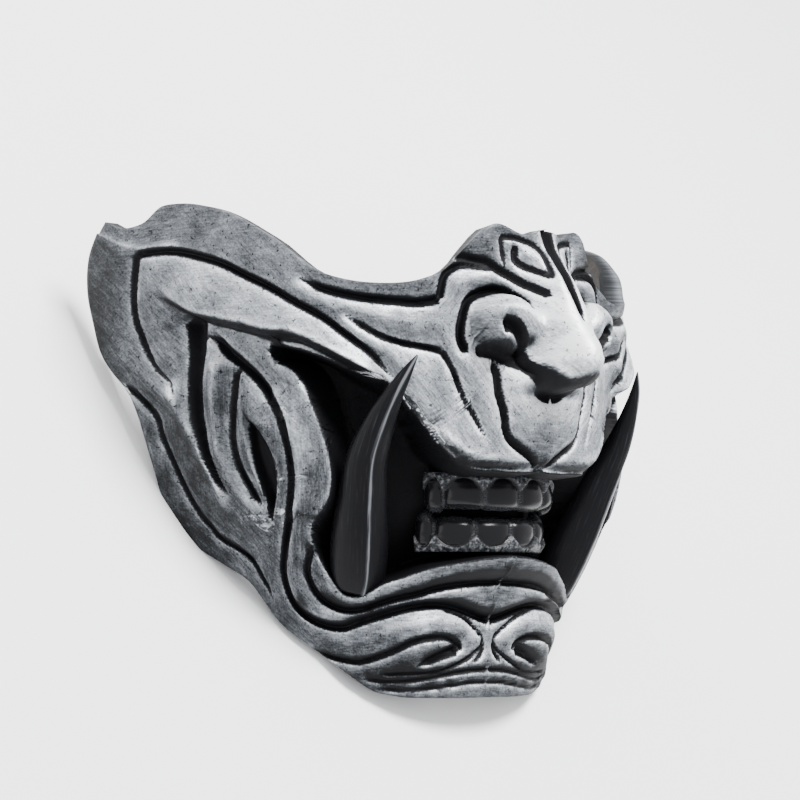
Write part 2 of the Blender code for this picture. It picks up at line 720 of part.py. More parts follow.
def build():
    """The whole mask, laid down on its back rim."""
    for old in list(bpy.data.objects):
        bpy.data.objects.remove(old, do_unlink=True)
    shell_points, shell_faces = shell_mesh()
    tree = BVHTree.FromPolygons([Vector(point) for point in shell_points], shell_faces)
    straight_back = (0.0, 1.0, 0.0)
    upper = teeth_mesh(UPPER_TEETH, UPPER_TIP, UPPER_HEIGHT, UPPER_FRONT, True)
    lower = teeth_mesh(LOWER_TEETH, LOWER_FOOT, LOWER_HEIGHT, LOWER_FRONT, False)
    pieces = [
        ("upper_teeth", seated(*upper, shell_points, tree, straight_back), upper[1]),
        ("lower_teeth", seated(*lower, shell_points, tree, straight_back), lower[1]),
    ]
    for name, side in (("tusk_left", 1.0), ("tusk_right", -1.0)):
        points, faces = tusk_mesh(side)
        inward = (-0.5 * side, 1.0, 0.0)
        pieces.append((name, seated(points, faces, shell_points, tree, inward), faces))

    tilt = rest_tilt(shell_points, balance_point(shell_points, shell_faces))
    drop = math.cos(tilt) * shell_points[:, 2] - math.sin(tilt) * shell_points[:, 1]
    level = drop.min() + TRIM
    length = math.sin(tilt) * shell_points[:, 2] + math.cos(tilt) * shell_points[:, 1]
    middle = (length.min() + length.max()) / 2.0
    rest = bpy.data.objects.new("laid_down", None)
    bpy.context.scene.collection.objects.link(rest)
    lie = Matrix.Rotation(-tilt, 4, "X")
    rest.matrix_world = Matrix.Translation((0.0, -middle, -level)) @ lie
    shell = add_piece("face_shell", shell_points, shell_faces, SILVERED, rest)
    grind_flat(shell, tilt, level)
    for name, points, faces in pieces:
        add_piece(name, points, faces, BLACK_ENAMEL, rest)


build()
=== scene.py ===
"""Carved half mask in black and silver, laid face up on a table.

Each piece is worked out in millimetres as the mask is worn, with X across the face, the front
towards -Y and Z up, and is then laid down on its jaw rim.
"""
import math

import bpy
import numpy as np
from mathutils import Matrix, Vector


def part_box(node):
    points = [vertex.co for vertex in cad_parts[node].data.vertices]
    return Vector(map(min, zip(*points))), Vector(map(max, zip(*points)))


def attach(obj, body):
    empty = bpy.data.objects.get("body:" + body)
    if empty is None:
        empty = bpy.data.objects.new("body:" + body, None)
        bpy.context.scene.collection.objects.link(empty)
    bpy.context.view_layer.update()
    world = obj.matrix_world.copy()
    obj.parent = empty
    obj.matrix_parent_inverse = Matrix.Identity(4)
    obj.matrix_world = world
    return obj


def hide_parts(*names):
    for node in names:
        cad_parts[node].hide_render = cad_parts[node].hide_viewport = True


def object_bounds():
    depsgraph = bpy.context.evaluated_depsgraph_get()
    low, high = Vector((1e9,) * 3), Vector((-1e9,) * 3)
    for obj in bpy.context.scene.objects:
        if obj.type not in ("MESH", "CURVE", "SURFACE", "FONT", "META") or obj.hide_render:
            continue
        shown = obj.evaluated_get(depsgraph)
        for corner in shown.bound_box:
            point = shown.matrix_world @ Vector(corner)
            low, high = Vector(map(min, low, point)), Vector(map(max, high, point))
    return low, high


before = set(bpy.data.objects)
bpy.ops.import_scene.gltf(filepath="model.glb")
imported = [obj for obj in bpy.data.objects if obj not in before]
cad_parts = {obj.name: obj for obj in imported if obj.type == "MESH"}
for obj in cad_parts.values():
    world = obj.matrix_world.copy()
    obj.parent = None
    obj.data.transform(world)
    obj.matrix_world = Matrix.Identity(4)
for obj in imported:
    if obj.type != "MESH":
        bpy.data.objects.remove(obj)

cad_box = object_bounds()

# Table, light and viewpoint
# The mask lies on a pale matt table top. The viewer looks at it from the wearer's right, level with
# the nose. A large soft lamp hangs high on the viewer's right and a weak one stands on the left.
LEAN = math.atan2(0.8169378638, 0.5767256618)
SHIFT_BACK = -98.04534
SHIFT_UP = 34.73940


def laid(points):
    """Worn millimetres to metres on the table: a turn about X by the lean, then the two shifts."""
    x, y, z = np.moveaxis(np.asarray(points, float), -1, 0)
    back = math.cos(LEAN) * y + math.sin(LEAN) * z + SHIFT_BACK
    high = math.cos(LEAN) * z - math.sin(LEAN) * y + SHIFT_UP
    return np.stack([x, back, high], axis=-1) * 0.001


LAY = (Matrix.Translation((0.0, SHIFT_BACK * 0.001, SHIFT_UP * 0.001))
       @ Matrix.Rotation(-LEAN, 4, "X"))
YAW = 0.6971776
PITCH = 0.0781639
EYE = Vector((-0.544854, -0.584279, 0.025131))
ahead = Vector((math.sin(YAW) * math.cos(PITCH), math.cos(YAW) * math.cos(PITCH), math.sin(PITCH)))
aside = Vector((math.cos(YAW), -math.sin(YAW), 0.0))
over = aside.cross(ahead)
look = Matrix(((aside.x, over.x, -ahead.x, EYE.x), (aside.y, over.y, -ahead.y, EYE.y),
               (aside.z, over.z, -ahead.z, EYE.z), (0.0, 0.0, 0.0, 1.0)))
view = bpy.data.cameras.new("view")
view.sensor_width = 36.0
view.lens = 122.4
viewer = bpy.data.objects.new("view", view)
bpy.context.scene.collection.objects.link(viewer)
viewer.matrix_world = LAY @ look
bpy.context.scene.camera = viewer

MASK_MIDDLE = Vector((0.0, 0.0, 0.055))
LAMPS = (
    ("key", (0.62, 0.95, 0.55), 0.9, 0.45, 26.0),
    ("fill", (-0.90, 0.15, 0.75), 1.0, 0.70, 3.0),
    ("edge", (-0.35, 0.95, -0.15), 1.0, 0.35, 3.0),
)
for name, towards, away, size, power in LAMPS:
    lamp = bpy.data.lights.new(name, "AREA")
    lamp.shape = "DISK"
    lamp.size = size
    lamp.energy = power
    light = bpy.data.objects.new(name, lamp)
    bpy.context.scene.collection.objects.link(light)
    aim = (viewer.matrix_world.to_3x3() @ Vector(towards)).normalized()
    light.location = MASK_MIDDLE + aim * away
    light.rotation_euler = (-aim).to_track_quat("-Z", "Y").to_euler()

sky = bpy.data.worlds.new("soft_room")
bpy.context.scene.world = sky
sky.use_nodes = True
sky.node_tree.nodes["Background"].inputs["Color"].default_value = (0.97, 0.98, 1.0, 1.0)
sky.node_tree.nodes["Background"].inputs["Strength"].default_value = 1.55

table_mesh = bpy.data.meshes.new("table")
table_mesh.from_pydata([(-6, -6, 0), (6, -6, 0), (6, 6, 0), (-6, 6, 0)], [], [(0, 1, 2, 3)])
table = bpy.data.objects.new("table", table_mesh)
bpy.context.scene.collection.objects.link(table)
pale = bpy.data.materials.new("pale_matt")
pale.use_nodes = True
pale.node_tree.nodes["Principled BSDF"].inputs["Base Color"].default_value = (0.94, 0.94, 0.94, 1.0)
pale.node_tree.nodes["Principled BSDF"].inputs["Roughness"].default_value = 0.9
table_mesh.materials.append(pale)

# Face shell
# One rigid casting in resin that covers nose, mouth and jaw, carved in the pattern before it was
# cast. It is sprayed black, worked over every raised form with silver on a dry brush, and left dark
# inside. Its silver tone also carries painted light from above and painted shade under overhangs.
HEIGHT = 147.0
HALF_WIDTH = 84.0
BACK_REACH = 116.0
CHIN_SETBACK = 26.0
WALL = 4.2

# Plan: up, half width, back reach, fullness of the corners, as shares
SIDE_SECTIONS = np.array((
    (0.000, 0.655, 0.759, 0.00), (0.075, 0.714, 0.776, 0.00), (0.218, 0.827, 0.862, 0.04),
    (0.313, 0.905, 0.931, 0.08), (0.435, 0.952, 0.974, 0.11), (0.619, 0.994, 1.000, 0.11),
    (0.728, 1.000, 1.000, 0.11), (1.000, 1.000, 1.000, 0.11)))
# Profile down the middle: up, share of the chin's setback
FRONT_PROFILE = np.array((
    (0.000, 1.000), (0.054, 0.923), (0.116, 0.923), (0.184, 0.865), (0.224, 0.731),
    (0.265, 0.577), (0.313, 0.385), (0.456, 0.000), (0.544, -0.077), (0.680, -0.115),
    (0.816, -0.115), (1.000, -0.115)))

# Tuck of the upper muzzle's sides behind the plan: rows up, columns round, shares of the tuck
TUCK = 6.5
TUCK_ANGLE = 40.0
TUCK_ROUND = np.array((0.00, 0.07, 0.135, 0.20, 0.30, 0.40, 0.50, 0.60, 0.70))
TUCK_UP = np.array((0.00, 0.34, 0.46, 0.62, 0.75, 0.86, 0.95, 1.00))
TUCK_SHARES = np.array((
    (0.00, 0.00, 0.00, 0.00, 0.00, 0.00, 0.00, 0.00, 0.00),
    (0.00, 0.00, 0.00, 0.00, 0.00, 0.00, 0.00, 0.00, 0.00),
    (0.00, 0.06, 0.17, 0.40, 0.62, 0.50, 0.28, 0.08, 0.00),
    (0.00, 0.08, 0.23, 0.62, 1.00, 0.69, 0.35, 0.08, 0.00),
    (0.00, 0.23, 0.46, 0.69, 1.00, 0.69, 0.35, 0.08, 0.00),
    (0.00, 0.38, 0.69, 0.85, 0.92, 0.65, 0.31, 0.08, 0.00),
    (0.00, 0.42, 0.77, 0.92, 0.92, 0.62, 0.31, 0.08, 0.00),
    (0.00, 0.42, 0.77, 0.92, 0.92, 0.62, 0.31, 0.08, 0.00)))

# Outline and lines of the carving: share round from the middle to the back edge, share up
TOP_RIM = (
    (0.000, 0.940), (0.060, 0.926), (0.135, 0.945), (0.200, 0.895), (0.235, 0.857),
    (0.300, 0.828), (0.400, 0.819), (0.500, 0.840), (0.600, 0.915), (0.700, 0.975),
    (0.800, 1.000), (0.835, 1.000), (0.880, 0.970), (0.935, 0.968), (0.965, 0.985))
BACK_EDGE = (
    (0.915, 0.635), (0.965, 0.710), (0.983, 0.770), (1.000, 0.845), (0.998, 0.910), (0.965, 0.985))
JAW_EDGE = (
    (0.000, 0.000), (0.200, 0.000), (0.350, 0.005), (0.415, 0.015), (0.480, 0.045),
    (0.540, 0.080), (0.600, 0.120), (0.640, 0.155), (0.665, 0.197), (0.690, 0.235),
    (0.742, 0.270), (0.793, 0.305), (0.822, 0.350), (0.856, 0.410), (0.863, 0.500),
    (0.880, 0.570), (0.915, 0.635))
CHEEK_LINE = (
    (0.363, 0.637), (0.400, 0.6775), (0.450, 0.715), (0.500, 0.7525), (0.550, 0.781),
    (0.600, 0.8125), (0.650, 0.840), (0.700, 0.868), (0.750, 0.887), (0.800, 0.902),
    (0.855, 0.907), (0.888, 0.905))
WING_LINE = (
    (0.888, 0.905), (0.890, 0.880), (0.893, 0.845), (0.8935, 0.810), (0.889, 0.775),
    (0.876, 0.735), (0.861, 0.697), (0.844, 0.667), (0.828, 0.650), (0.813, 0.635), (0.800, 0.612))
WING_RIDGE = (
    (0.965, 0.955), (0.934, 0.936), (0.903, 0.923), (0.856, 0.914), (0.800, 0.9115), (0.750, 0.900))
BAND_EDGE = (
    (0.368, 0.620), (0.400, 0.634), (0.450, 0.660), (0.500, 0.687), (0.550, 0.710),
    (0.600, 0.718), (0.650, 0.732), (0.700, 0.747), (0.750, 0.764), (0.775, 0.778),
    (0.800, 0.795), (0.825, 0.817), (0.845, 0.835))
JAW_CREST = (
    (0.826, 0.635), (0.800, 0.596), (0.782, 0.560), (0.763, 0.517), (0.745, 0.472),
    (0.730, 0.440), (0.717, 0.405), (0.700, 0.373), (0.690, 0.357))
LENS_VALLEY = (
    (0.775, 0.775), (0.768, 0.740), (0.762, 0.700), (0.762, 0.650), (0.760, 0.600),
    (0.757, 0.566), (0.750, 0.530), (0.743, 0.495), (0.732, 0.462), (0.717, 0.427), (0.700, 0.405))
LENS_CREST = (
    (0.705, 0.700), (0.715, 0.670), (0.720, 0.620), (0.7185, 0.590), (0.7175, 0.540),
    (0.715, 0.497), (0.706, 0.463), (0.697, 0.436), (0.682, 0.414), (0.665, 0.397),
    (0.650, 0.374), (0.630, 0.358), (0.613, 0.347))
LENS_GROOVE = (
    (0.667, 0.663), (0.676, 0.645), (0.681, 0.605), (0.686, 0.560), (0.689, 0.515),
    (0.687, 0.490), (0.680, 0.463), (0.670, 0.440), (0.657, 0.418), (0.645, 0.398), (0.633, 0.385))
LENS_HOLE = (
    (0.662, 0.567), (0.666, 0.540), (0.664, 0.505), (0.655, 0.463), (0.640, 0.423),
    (0.625, 0.390), (0.610, 0.345), (0.6015, 0.385), (0.5985, 0.430), (0.604, 0.472),
    (0.617, 0.508), (0.634, 0.538), (0.662, 0.567))
CHEEK_FOLD = (
    (0.750, 0.730), (0.7225, 0.716), (0.700, 0.692), (0.678, 0.674), (0.650, 0.650),
    (0.628, 0.627), (0.617, 0.612), (0.594, 0.578), (0.583, 0.550), (0.575, 0.515),
    (0.568, 0.465), (0.567, 0.410), (0.574, 0.342), (0.584, 0.290), (0.594, 0.255),
    (0.593, 0.221), (0.587, 0.200), (0.573, 0.178), (0.546, 0.159), (0.517, 0.149),
    (0.487, 0.144), (0.456, 0.144), (0.430, 0.150), (0.396, 0.1575), (0.328, 0.171),
    (0.252, 0.184), (0.198, 0.188), (0.160, 0.187), (0.118, 0.181), (0.074, 0.172),
    (0.035, 0.163), (0.000, 0.158))
CRESCENT_CREST = (
    (0.610, 0.620), (0.590, 0.583), (0.572, 0.550), (0.556, 0.515), (0.547, 0.483),
    (0.543, 0.450), (0.543, 0.422), (0.548, 0.398), (0.554, 0.370), (0.557, 0.345))
LIP_FOLD = (
    (0.522, 0.310), (0.527, 0.288), (0.535, 0.250), (0.528, 0.226), (0.513, 0.205),
    (0.486, 0.189), (0.455, 0.179), (0.423, 0.1765), (0.389, 0.180), (0.353, 0.189),
    (0.300, 0.200), (0.247, 0.208), (0.200, 0.219), (0.152, 0.2265), (0.100, 0.231),
    (0.043, 0.2335), (0.000, 0.235))
ROLL_CREST = (
    (0.560, 0.190), (0.535, 0.170), (0.500, 0.160), (0.455, 0.157), (0.400, 0.165),
    (0.350, 0.174), (0.300, 0.184), (0.250, 0.193), (0.190, 0.201), (0.158, 0.204),
    (0.110, 0.202), (0.076, 0.195), (0.040, 0.188), (0.000, 0.184))
LIP_BEAD = (
    (0.505, 0.250), (0.470, 0.209), (0.430, 0.192), (0.385, 0.196), (0.300, 0.222),
    (0.200, 0.243), (0.100, 0.256), (0.000, 0.260))
CURL_OUTLINE = (
    (0.168, 0.178), (0.130, 0.171), (0.094, 0.160), (0.066, 0.146), (0.040, 0.1325),
    (0.022, 0.119), (0.028, 0.105), (0.047, 0.094), (0.078, 0.081), (0.115, 0.070),
    (0.153, 0.061), (0.193, 0.054), (0.245, 0.051), (0.300, 0.050), (0.343, 0.049), (0.388, 0.049))
CURL_LINE = (
    (0.575, 0.100), (0.534, 0.085), (0.487, 0.076), (0.447, 0.073), (0.407, 0.0785),
    (0.366, 0.087), (0.323, 0.0975), (0.280, 0.111), (0.237, 0.119), (0.200, 0.1225),
    (0.160, 0.122), (0.130, 0.114), (0.110, 0.103), (0.118, 0.0985))
CURL_SLIT = (
    (0.118, 0.099), (0.140, 0.096), (0.183, 0.087), (0.227, 0.076), (0.268, 0.064))
CHIN_LINE = (
    (0.440, 0.040), (0.390, 0.035), (0.325, 0.0345), (0.262, 0.0375), (0.205, 0.043),
    (0.153, 0.0485), (0.110, 0.0525), (0.065, 0.0555), (0.000, 0.057))
CHIN_LOW_LINE = (
    (0.400, 0.020), (0.345, 0.018), (0.262, 0.018), (0.200, 0.022), (0.135, 0.0265),
    (0.070, 0.031), (0.000, 0.032))
CHIN_NOTCH = ((0.016, 0.112), (0.022, 0.098), (0.036, 0.084), (0.060, 0.072))
LIP_SEAM = (
    (0.450, 0.753), (0.425, 0.737), (0.400, 0.7225), (0.375, 0.710), (0.350, 0.704),
    (0.325, 0.6985), (0.300, 0.6955), (0.275, 0.691), (0.253, 0.6855))
LIP_SEAM_DOWN = (
    (0.253, 0.6855), (0.237, 0.664), (0.2235, 0.637), (0.2125, 0.611), (0.203, 0.592),
    (0.180, 0.560), (0.157, 0.525), (0.148, 0.514))
LIP_PANEL = (
    (0.142, 0.665), (0.132, 0.645), (0.126, 0.607), (0.1175, 0.583), (0.110, 0.560),
    (0.105, 0.5325), (0.095, 0.515), (0.080, 0.504), (0.055, 0.4905), (0.033, 0.477), (0.008, 0.460))
EYE_RIM_LINE = (
    (0.541, 0.828), (0.520, 0.817), (0.500, 0.808), (0.475, 0.800), (0.450, 0.7945),
    (0.400, 0.787), (0.350, 0.7835), (0.300, 0.7825), (0.275, 0.786), (0.257, 0.790))
EYE_RIM_RISE = (
    (0.257, 0.790), (0.254, 0.806), (0.250, 0.8255), (0.245, 0.839), (0.234, 0.848),
    (0.219, 0.856), (0.200, 0.860), (0.175, 0.858), (0.150, 0.855), (0.127, 0.850))
BROW_LINE = (
    (0.233, 0.875), (0.208, 0.875), (0.176, 0.870), (0.143, 0.863), (0.124, 0.852),
    (0.103, 0.842), (0.082, 0.828), (0.060, 0.814), (0.038, 0.798))
NOSTRIL_RIM = (
    (0.069, 0.772), (0.083, 0.789), (0.112, 0.808), (0.162, 0.806), (0.194, 0.789),
    (0.207, 0.755), (0.212, 0.732), (0.210, 0.704), (0.194, 0.684))
NOSE_FOOT = (
    (0.183, 0.690), (0.140, 0.683), (0.110, 0.671), (0.085, 0.662), (0.062, 0.645),
    (0.045, 0.625), (0.020, 0.604), (0.000, 0.601))
NOSTRIL = (
    (0.150, 0.737), (0.128, 0.735), (0.111, 0.716), (0.095, 0.694), (0.077, 0.660), (0.045, 0.640))
EYE_MARK = (
    (0.030, 0.834), (0.027, 0.846), (0.026, 0.868), (0.029, 0.890), (0.041, 0.904),
    (0.068, 0.914), (0.098, 0.919), (0.119, 0.920))
EYE_MARK_SIDE = ((0.119, 0.920), (0.116, 0.898), (0.113, 0.876), (0.108, 0.859))
EYE_HOOK = (
    (0.079, 0.900), (0.087, 0.888), (0.087, 0.874), (0.073, 0.861), (0.050, 0.850),
    (0.035, 0.840), (0.030, 0.834))
BRIDGE_SPLIT = ((0.000, 0.940), (0.000, 0.900), (0.000, 0.850), (0.000, 0.800), (0.000, 0.746))
JAW_LINE = (
    (0.915, 0.640), (0.900, 0.627), (0.879, 0.608), (0.861, 0.588), (0.845, 0.563),
    (0.842, 0.540), (0.834, 0.510), (0.825, 0.483), (0.815, 0.452), (0.804, 0.422),
    (0.789, 0.391), (0.773, 0.366), (0.7535, 0.344), (0.735, 0.322), (0.705, 0.304),
    (0.683, 0.291), (0.668, 0.276), (0.660, 0.260), (0.655, 0.243), (0.645, 0.218), (0.640, 0.197))
UPPER_LIP = (
    (0.320, 0.595), (0.300, 0.570), (0.276, 0.545), (0.250, 0.518), (0.228, 0.502),
    (0.200, 0.482), (0.183, 0.477), (0.157, 0.472), (0.130, 0.468), (0.105, 0.465),
    (0.070, 0.4605), (0.035, 0.4565), (0.000, 0.4555))
MOUTH_TOP = (
    (0.000, 0.4550), (0.035, 0.4505), (0.080, 0.450), (0.122, 0.452), (0.155, 0.452),
    (0.183, 0.456), (0.210, 0.468), (0.230, 0.483), (0.250, 0.497), (0.275, 0.520),
    (0.300, 0.550), (0.325, 0.575), (0.345, 0.600), (0.366, 0.622), (0.400, 0.630),
    (0.450, 0.650), (0.500, 0.672), (0.550, 0.690), (0.600, 0.700), (0.612, 0.700))
MOUTH_BACK = (
    (0.612, 0.700), (0.600, 0.668), (0.575, 0.657), (0.552, 0.640), (0.533, 0.610),
    (0.520, 0.575), (0.508, 0.543), (0.498, 0.510), (0.490, 0.480), (0.484, 0.447),
    (0.483, 0.420), (0.487, 0.395), (0.496, 0.375), (0.509, 0.360), (0.517, 0.343),
    (0.521, 0.325), (0.515, 0.305), (0.505, 0.285), (0.497, 0.270), (0.483, 0.247),
    (0.463, 0.223), (0.443, 0.207), (0.418, 0.2025), (0.393, 0.205), (0.375, 0.213),
    (0.357, 0.222), (0.330, 0.232), (0.303, 0.238), (0.257, 0.250), (0.218, 0.260),
    (0.163, 0.268), (0.115, 0.275), (0.065, 0.281), (0.000, 0.2845))

# Gouged lines: line, widths at its start and end, depth, runs over which its ends taper, all in mm
CUTS = (
    (CHEEK_LINE, 1.6, 2.2, 1.7, 7.0, 0.5), (WING_LINE, 2.2, 1.0, 1.6, 0.5, 20.0),
    (LENS_VALLEY, 5.6, 1.6, 3.0, 3.0, 6.0), (LENS_GROOVE, 1.6, 1.6, 1.6, 4.0, 4.0),
    (CHEEK_FOLD, 2.4, 2.6, 2.4, 8.0, 0.5), (LIP_FOLD, 2.0, 2.0, 2.1, 3.0, 0.5),
    (CURL_OUTLINE, 0.8, 1.1, 1.3, 2.0, 6.0), (CURL_LINE, 1.2, 2.0, 1.7, 8.0, 1.0),
    (CURL_SLIT, 3.4, 2.4, 2.2, 1.5, 9.0), (CHIN_LINE, 1.2, 1.2, 1.2, 6.0, 0.5),
    (CHIN_LOW_LINE, 0.8, 0.8, 0.8, 6.0, 0.5), (CHIN_NOTCH, 1.4, 1.0, 1.2, 2.0, 3.0),
    (LIP_SEAM, 1.3, 1.5, 1.3, 6.0, 0.5), (LIP_SEAM_DOWN, 1.6, 1.2, 1.4, 0.5, 7.0),
    (LIP_PANEL, 2.4, 1.6, 1.7, 2.0, 3.0), (EYE_RIM_LINE, 2.0, 2.4, 1.8, 8.0, 0.5),
    (EYE_RIM_RISE, 2.4, 1.4, 1.6, 0.5, 5.0), (BROW_LINE, 2.4, 2.2, 1.7, 4.0, 1.0),
    (NOSTRIL_RIM, 2.0, 3.0, 2.4, 2.0, 2.0), (NOSE_FOOT, 3.0, 3.4, 1.0, 2.0, 0.5),
    (NOSTRIL, 4.6, 1.8, 3.6, 0.6, 4.0), (EYE_MARK, 1.4, 1.2, 1.1, 1.0, 0.5),
    (EYE_MARK_SIDE, 1.3, 1.2, 1.1, 0.5, 3.0), (EYE_HOOK, 2.4, 1.2, 1.3, 1.0, 1.0),
    (BRIDGE_SPLIT, 5.4, 1.4, 2.6, 0.2, 3.0), (JAW_LINE, 1.5, 1.2, 1.4, 4.0, 6.0),
)
# Gouge: half width as a share of the width, deepening, power of its fall, soft shoulder in mm
GOUGE_HALF = 0.54
GOUGE_GAIN = 1.25
GOUGE_POWER = 0.8
SHOULDER_DEPTH = 1.7
SHOULDER_REACH = 4.2
# Cheek band over the mouth, lens, upper lip and mouth, in mm
BAND_WALL = 2.6
BAND_RISE = 4.2
BAND_RISE_REACH = 13.4
BAND_FALL = 5.0
BAND_FALL_REACH = 11.0
PANEL_RISE = 1.3
PANEL_TOP = 99.0
WING_TOP_DROP = 2.4
LENS_DEPTH = 5.5
LENS_WALL = 2.3
LIP_BEVEL = 3.0
MOUTH_DEPTH = 22.5
MOUTH_WALL = 2.6
# The lip's bevel lies above this share up and up to this share round
LIP_FROM = 0.44
LIP_TO = 0.34
# Runs over which a raised edge fades at its ends, as a share, and reach of a line's grain in mm
CREST_FADE = 0.12
GRAIN_REACH = 7.0
BASE_TONE = 0.50
# Raised edges: line, height, fall on its left and on its right as it runs, all in mm
CRESTS = (
    (JAW_CREST, 2.2, 2.4, 4.2), (LENS_CREST, 1.5, 3.0, 2.6), (CRESCENT_CREST, 2.2, 5.0, 2.6),
    (ROLL_CREST, 1.5, 2.4, 2.6), (LIP_BEAD, 1.3, 2.4, 2.4), (UPPER_LIP, 0.7, 3.2, 1.6),
)
# Broad swellings: middle and reach as shares, slant in degrees, height in mm
SWELLINGS = (
    (0.245, 0.118, 0.200, 0.062, -8.0, 3.8), (0.555, 0.520, 0.040, 0.190, 0.0, 1.4),
    (0.560, 0.250, 0.045, 0.110, 0.0, 2.2), (0.330, 0.275, 0.200, 0.075, 0.0, -4.5),
)
# How much silver the brush left, with painted light and shade in it: lighter over the nose and
# lips, darker at the back of the wing, on the jaw and at the chin's foot;
# middle and reach as shares, gain
BRUSH_AND_SHADE_TONES = (
    (0.00, 0.68, 0.13, 0.12, 0.42), (0.10, 0.56, 0.22, 0.10, 0.20), (0.00, 0.78, 0.10, 0.10, 0.12),
    (0.30, 0.70, 0.16, 0.08, 0.12), (0.12, 0.12, 0.16, 0.06, 0.22), (0.60, 0.83, 0.16, 0.08, 0.06),
    (0.98, 0.80, 0.08, 0.30, -0.30), (0.80, 0.42, 0.10, 0.22, -0.20), (0.70, 0.55, 0.07, 0.15, -0.08),
    (0.45, 0.02, 0.30, 0.05, -0.22), (0.35, 0.13, 0.16, 0.05, -0.04), (0.85, 0.98, 0.14, 0.05, -0.08),
)

# Grid of the carved face: cells from the middle to the back edge, cells up, cells per inner cell
CELLS_ROUND = 180
CELLS_UP = 220
INNER_EVERY = 4


def through_rows(stations, values, at):
    """Cubic pieces through the rows, with slopes taken from the neighbouring rows."""
    slopes = np.gradient(values, stations)
    row = np.clip(np.searchsorted(stations, at) - 1, 0, len(stations) - 2)
    span = stations[row + 1] - stations[row]
    t = np.clip((at - stations[row]) / span, 0.0, 1.0)
    start = (2 * t**3 - 3 * t**2 + 1) * values[row] + (t**3 - 2 * t**2 + t) * span * slopes[row]
    end = (3 * t**2 - 2 * t**3) * values[row + 1] + (t**3 - t**2) * span * slopes[row + 1]
    return start + end


def smooth_path(rows, count):
    """Points at equal steps along the smooth curve through a line's rows."""
    rows = np.asarray(rows, float)
    knots = np.concatenate([[0.0], np.cumsum(np.hypot(*np.diff(rows, axis=0).T))])
    fine = np.linspace(0.0, knots[-1], 8 * count)
    points = np.stack([through_rows(knots, rows[:, axis], fine) for axis in (0, 1)], axis=1)
    travelled = np.concatenate([[0.0], np.cumsum(np.hypot(*np.diff(points, axis=0).T))])
    steps = np.linspace(0.0, travelled[-1], count)
    return np.stack([np.interp(steps, travelled, points[:, axis]) for axis in (0, 1)], axis=1)


def ease(value):
    """Soft step: 3t2 - 2t3 of the value held between 0 and 1."""
    value = np.clip(value, 0.0, 1.0)
    return value * value * (3.0 - 2.0 * value)


def form(around, up):
    """Plain form: a quarter of a full ellipse in plan, its half axes and front read off the rows."""
    wide, deep, full = (through_rows(SIDE_SECTIONS[:, 0], SIDE_SECTIONS[:, column], up)
                        for column in (1, 2, 3))
    front = through_rows(FRONT_PROFILE[:, 0], FRONT_PROFILE[:, 1], up) * CHIN_SETBACK
    turn = np.abs(around) * math.pi / 2.0
    across = np.sin(turn) * (1.0 + full * np.cos(turn) ** 2)
    depth = 1.0 - np.cos(turn) * (1.0 + full * np.sin(turn) ** 2)
    return np.stack([np.sign(around) * wide * HALF_WIDTH * across,
                     front + (deep * BACK_REACH - front) * depth, up * HEIGHT], axis=-1)


def tuck(around, up):
    """Share of the tuck: smooth curves up every column, then round through the columns."""
    level = np.stack([through_rows(TUCK_UP, column, np.clip(up, 0.0, 1.0)) for column in TUCK_SHARES.T])
    at = np.clip(np.abs(around), 0.0, TUCK_ROUND[-1])
    column = np.clip(np.searchsorted(TUCK_ROUND, at) - 1, 0, len(TUCK_ROUND) - 2)
    t = ease((at - TUCK_ROUND[column]) / (TUCK_ROUND[column + 1] - TUCK_ROUND[column]))
    first = np.take_along_axis(level, column[None], axis=0)[0]
    second = np.take_along_axis(level, column[None] + 1, axis=0)[0]
    return first * (1.0 - t) + second * t


def carved(around, up, lift):
    """The plain form moved by the lift square to its plan and tucked back and inward."""
    side = np.where(around < 0.0, -1.0, 1.0)
    step = 0.002
    along = (form(np.abs(around) + step, up)
             - form(np.maximum(np.abs(around) - step, 1e-6), up))
    out = np.stack([side * along[..., 1], -along[..., 0], np.zeros_like(up)], axis=-1)
    out /= np.linalg.norm(out, axis=-1, keepdims=True)
    turn = math.radians(TUCK_ANGLE)
    back = TUCK * tuck(around, up)[..., None] * np.array((-math.sin(turn), math.cos(turn), 0.0))
    return form(around, up) + lift[..., None] * out + back


sweep = np.linspace(0.0, 1.0, 200)
ARC = np.linalg.norm(np.diff(form(sweep, np.full(200, 0.6)), axis=0), axis=1).sum()


def drawn(rows):
    """A line's smooth path in millimetres along and up the form, a point every 1.6 mm or so."""
    rough = np.asarray(rows) * (ARC, HEIGHT)
    long = np.hypot(*np.diff(rough, axis=0).T).sum()
    return smooth_path(rows, int(long / 1.6) + 4) * (ARC, HEIGHT)


def near(path, s, h, reach=18.0):
    """Distance to the closest piece of a path, its side (1 left), the share along it, its heading.

    Each point within reach of the path's box is dropped square on to every piece, and the closest
    foot is kept. Points further off read the reach itself.
    """
    dist = np.full(s.shape, reach)
    side = np.zeros(s.shape)
    share = np.zeros(s.shape)
    heading = np.zeros(s.shape + (2,))
    low = path.min(axis=0) - reach
    high = path.max(axis=0) + reach
    keep = (s > low[0]) & (s < high[0]) & (h > low[1]) & (h < high[1])
    spot = np.stack([s[keep], h[keep]], axis=1)
    run = np.diff(path, axis=0)
    off = spot[:, None, :] - path[None, :-1, :]
    t = np.clip((off * run).sum(axis=-1) / (run * run).sum(axis=-1), 0.0, 1.0)
    gap = off - t[..., None] * run
    far = np.hypot(gap[..., 0], gap[..., 1])
    best = far.argmin(axis=1)
    row = np.arange(len(spot))
    gap = gap[row, best]
    way = run[best] / np.linalg.norm(run[best], axis=1, keepdims=True)
    dist[keep] = np.minimum(far[row, best], reach)
    side[keep] = np.where(way[:, 0] * gap[:, 1] - way[:, 1] * gap[:, 0] >= 0.0, 1.0, -1.0)
    share[keep] = (best + t[row, best]) / len(run)
    heading[keep] = way
    return dist, side, share, heading


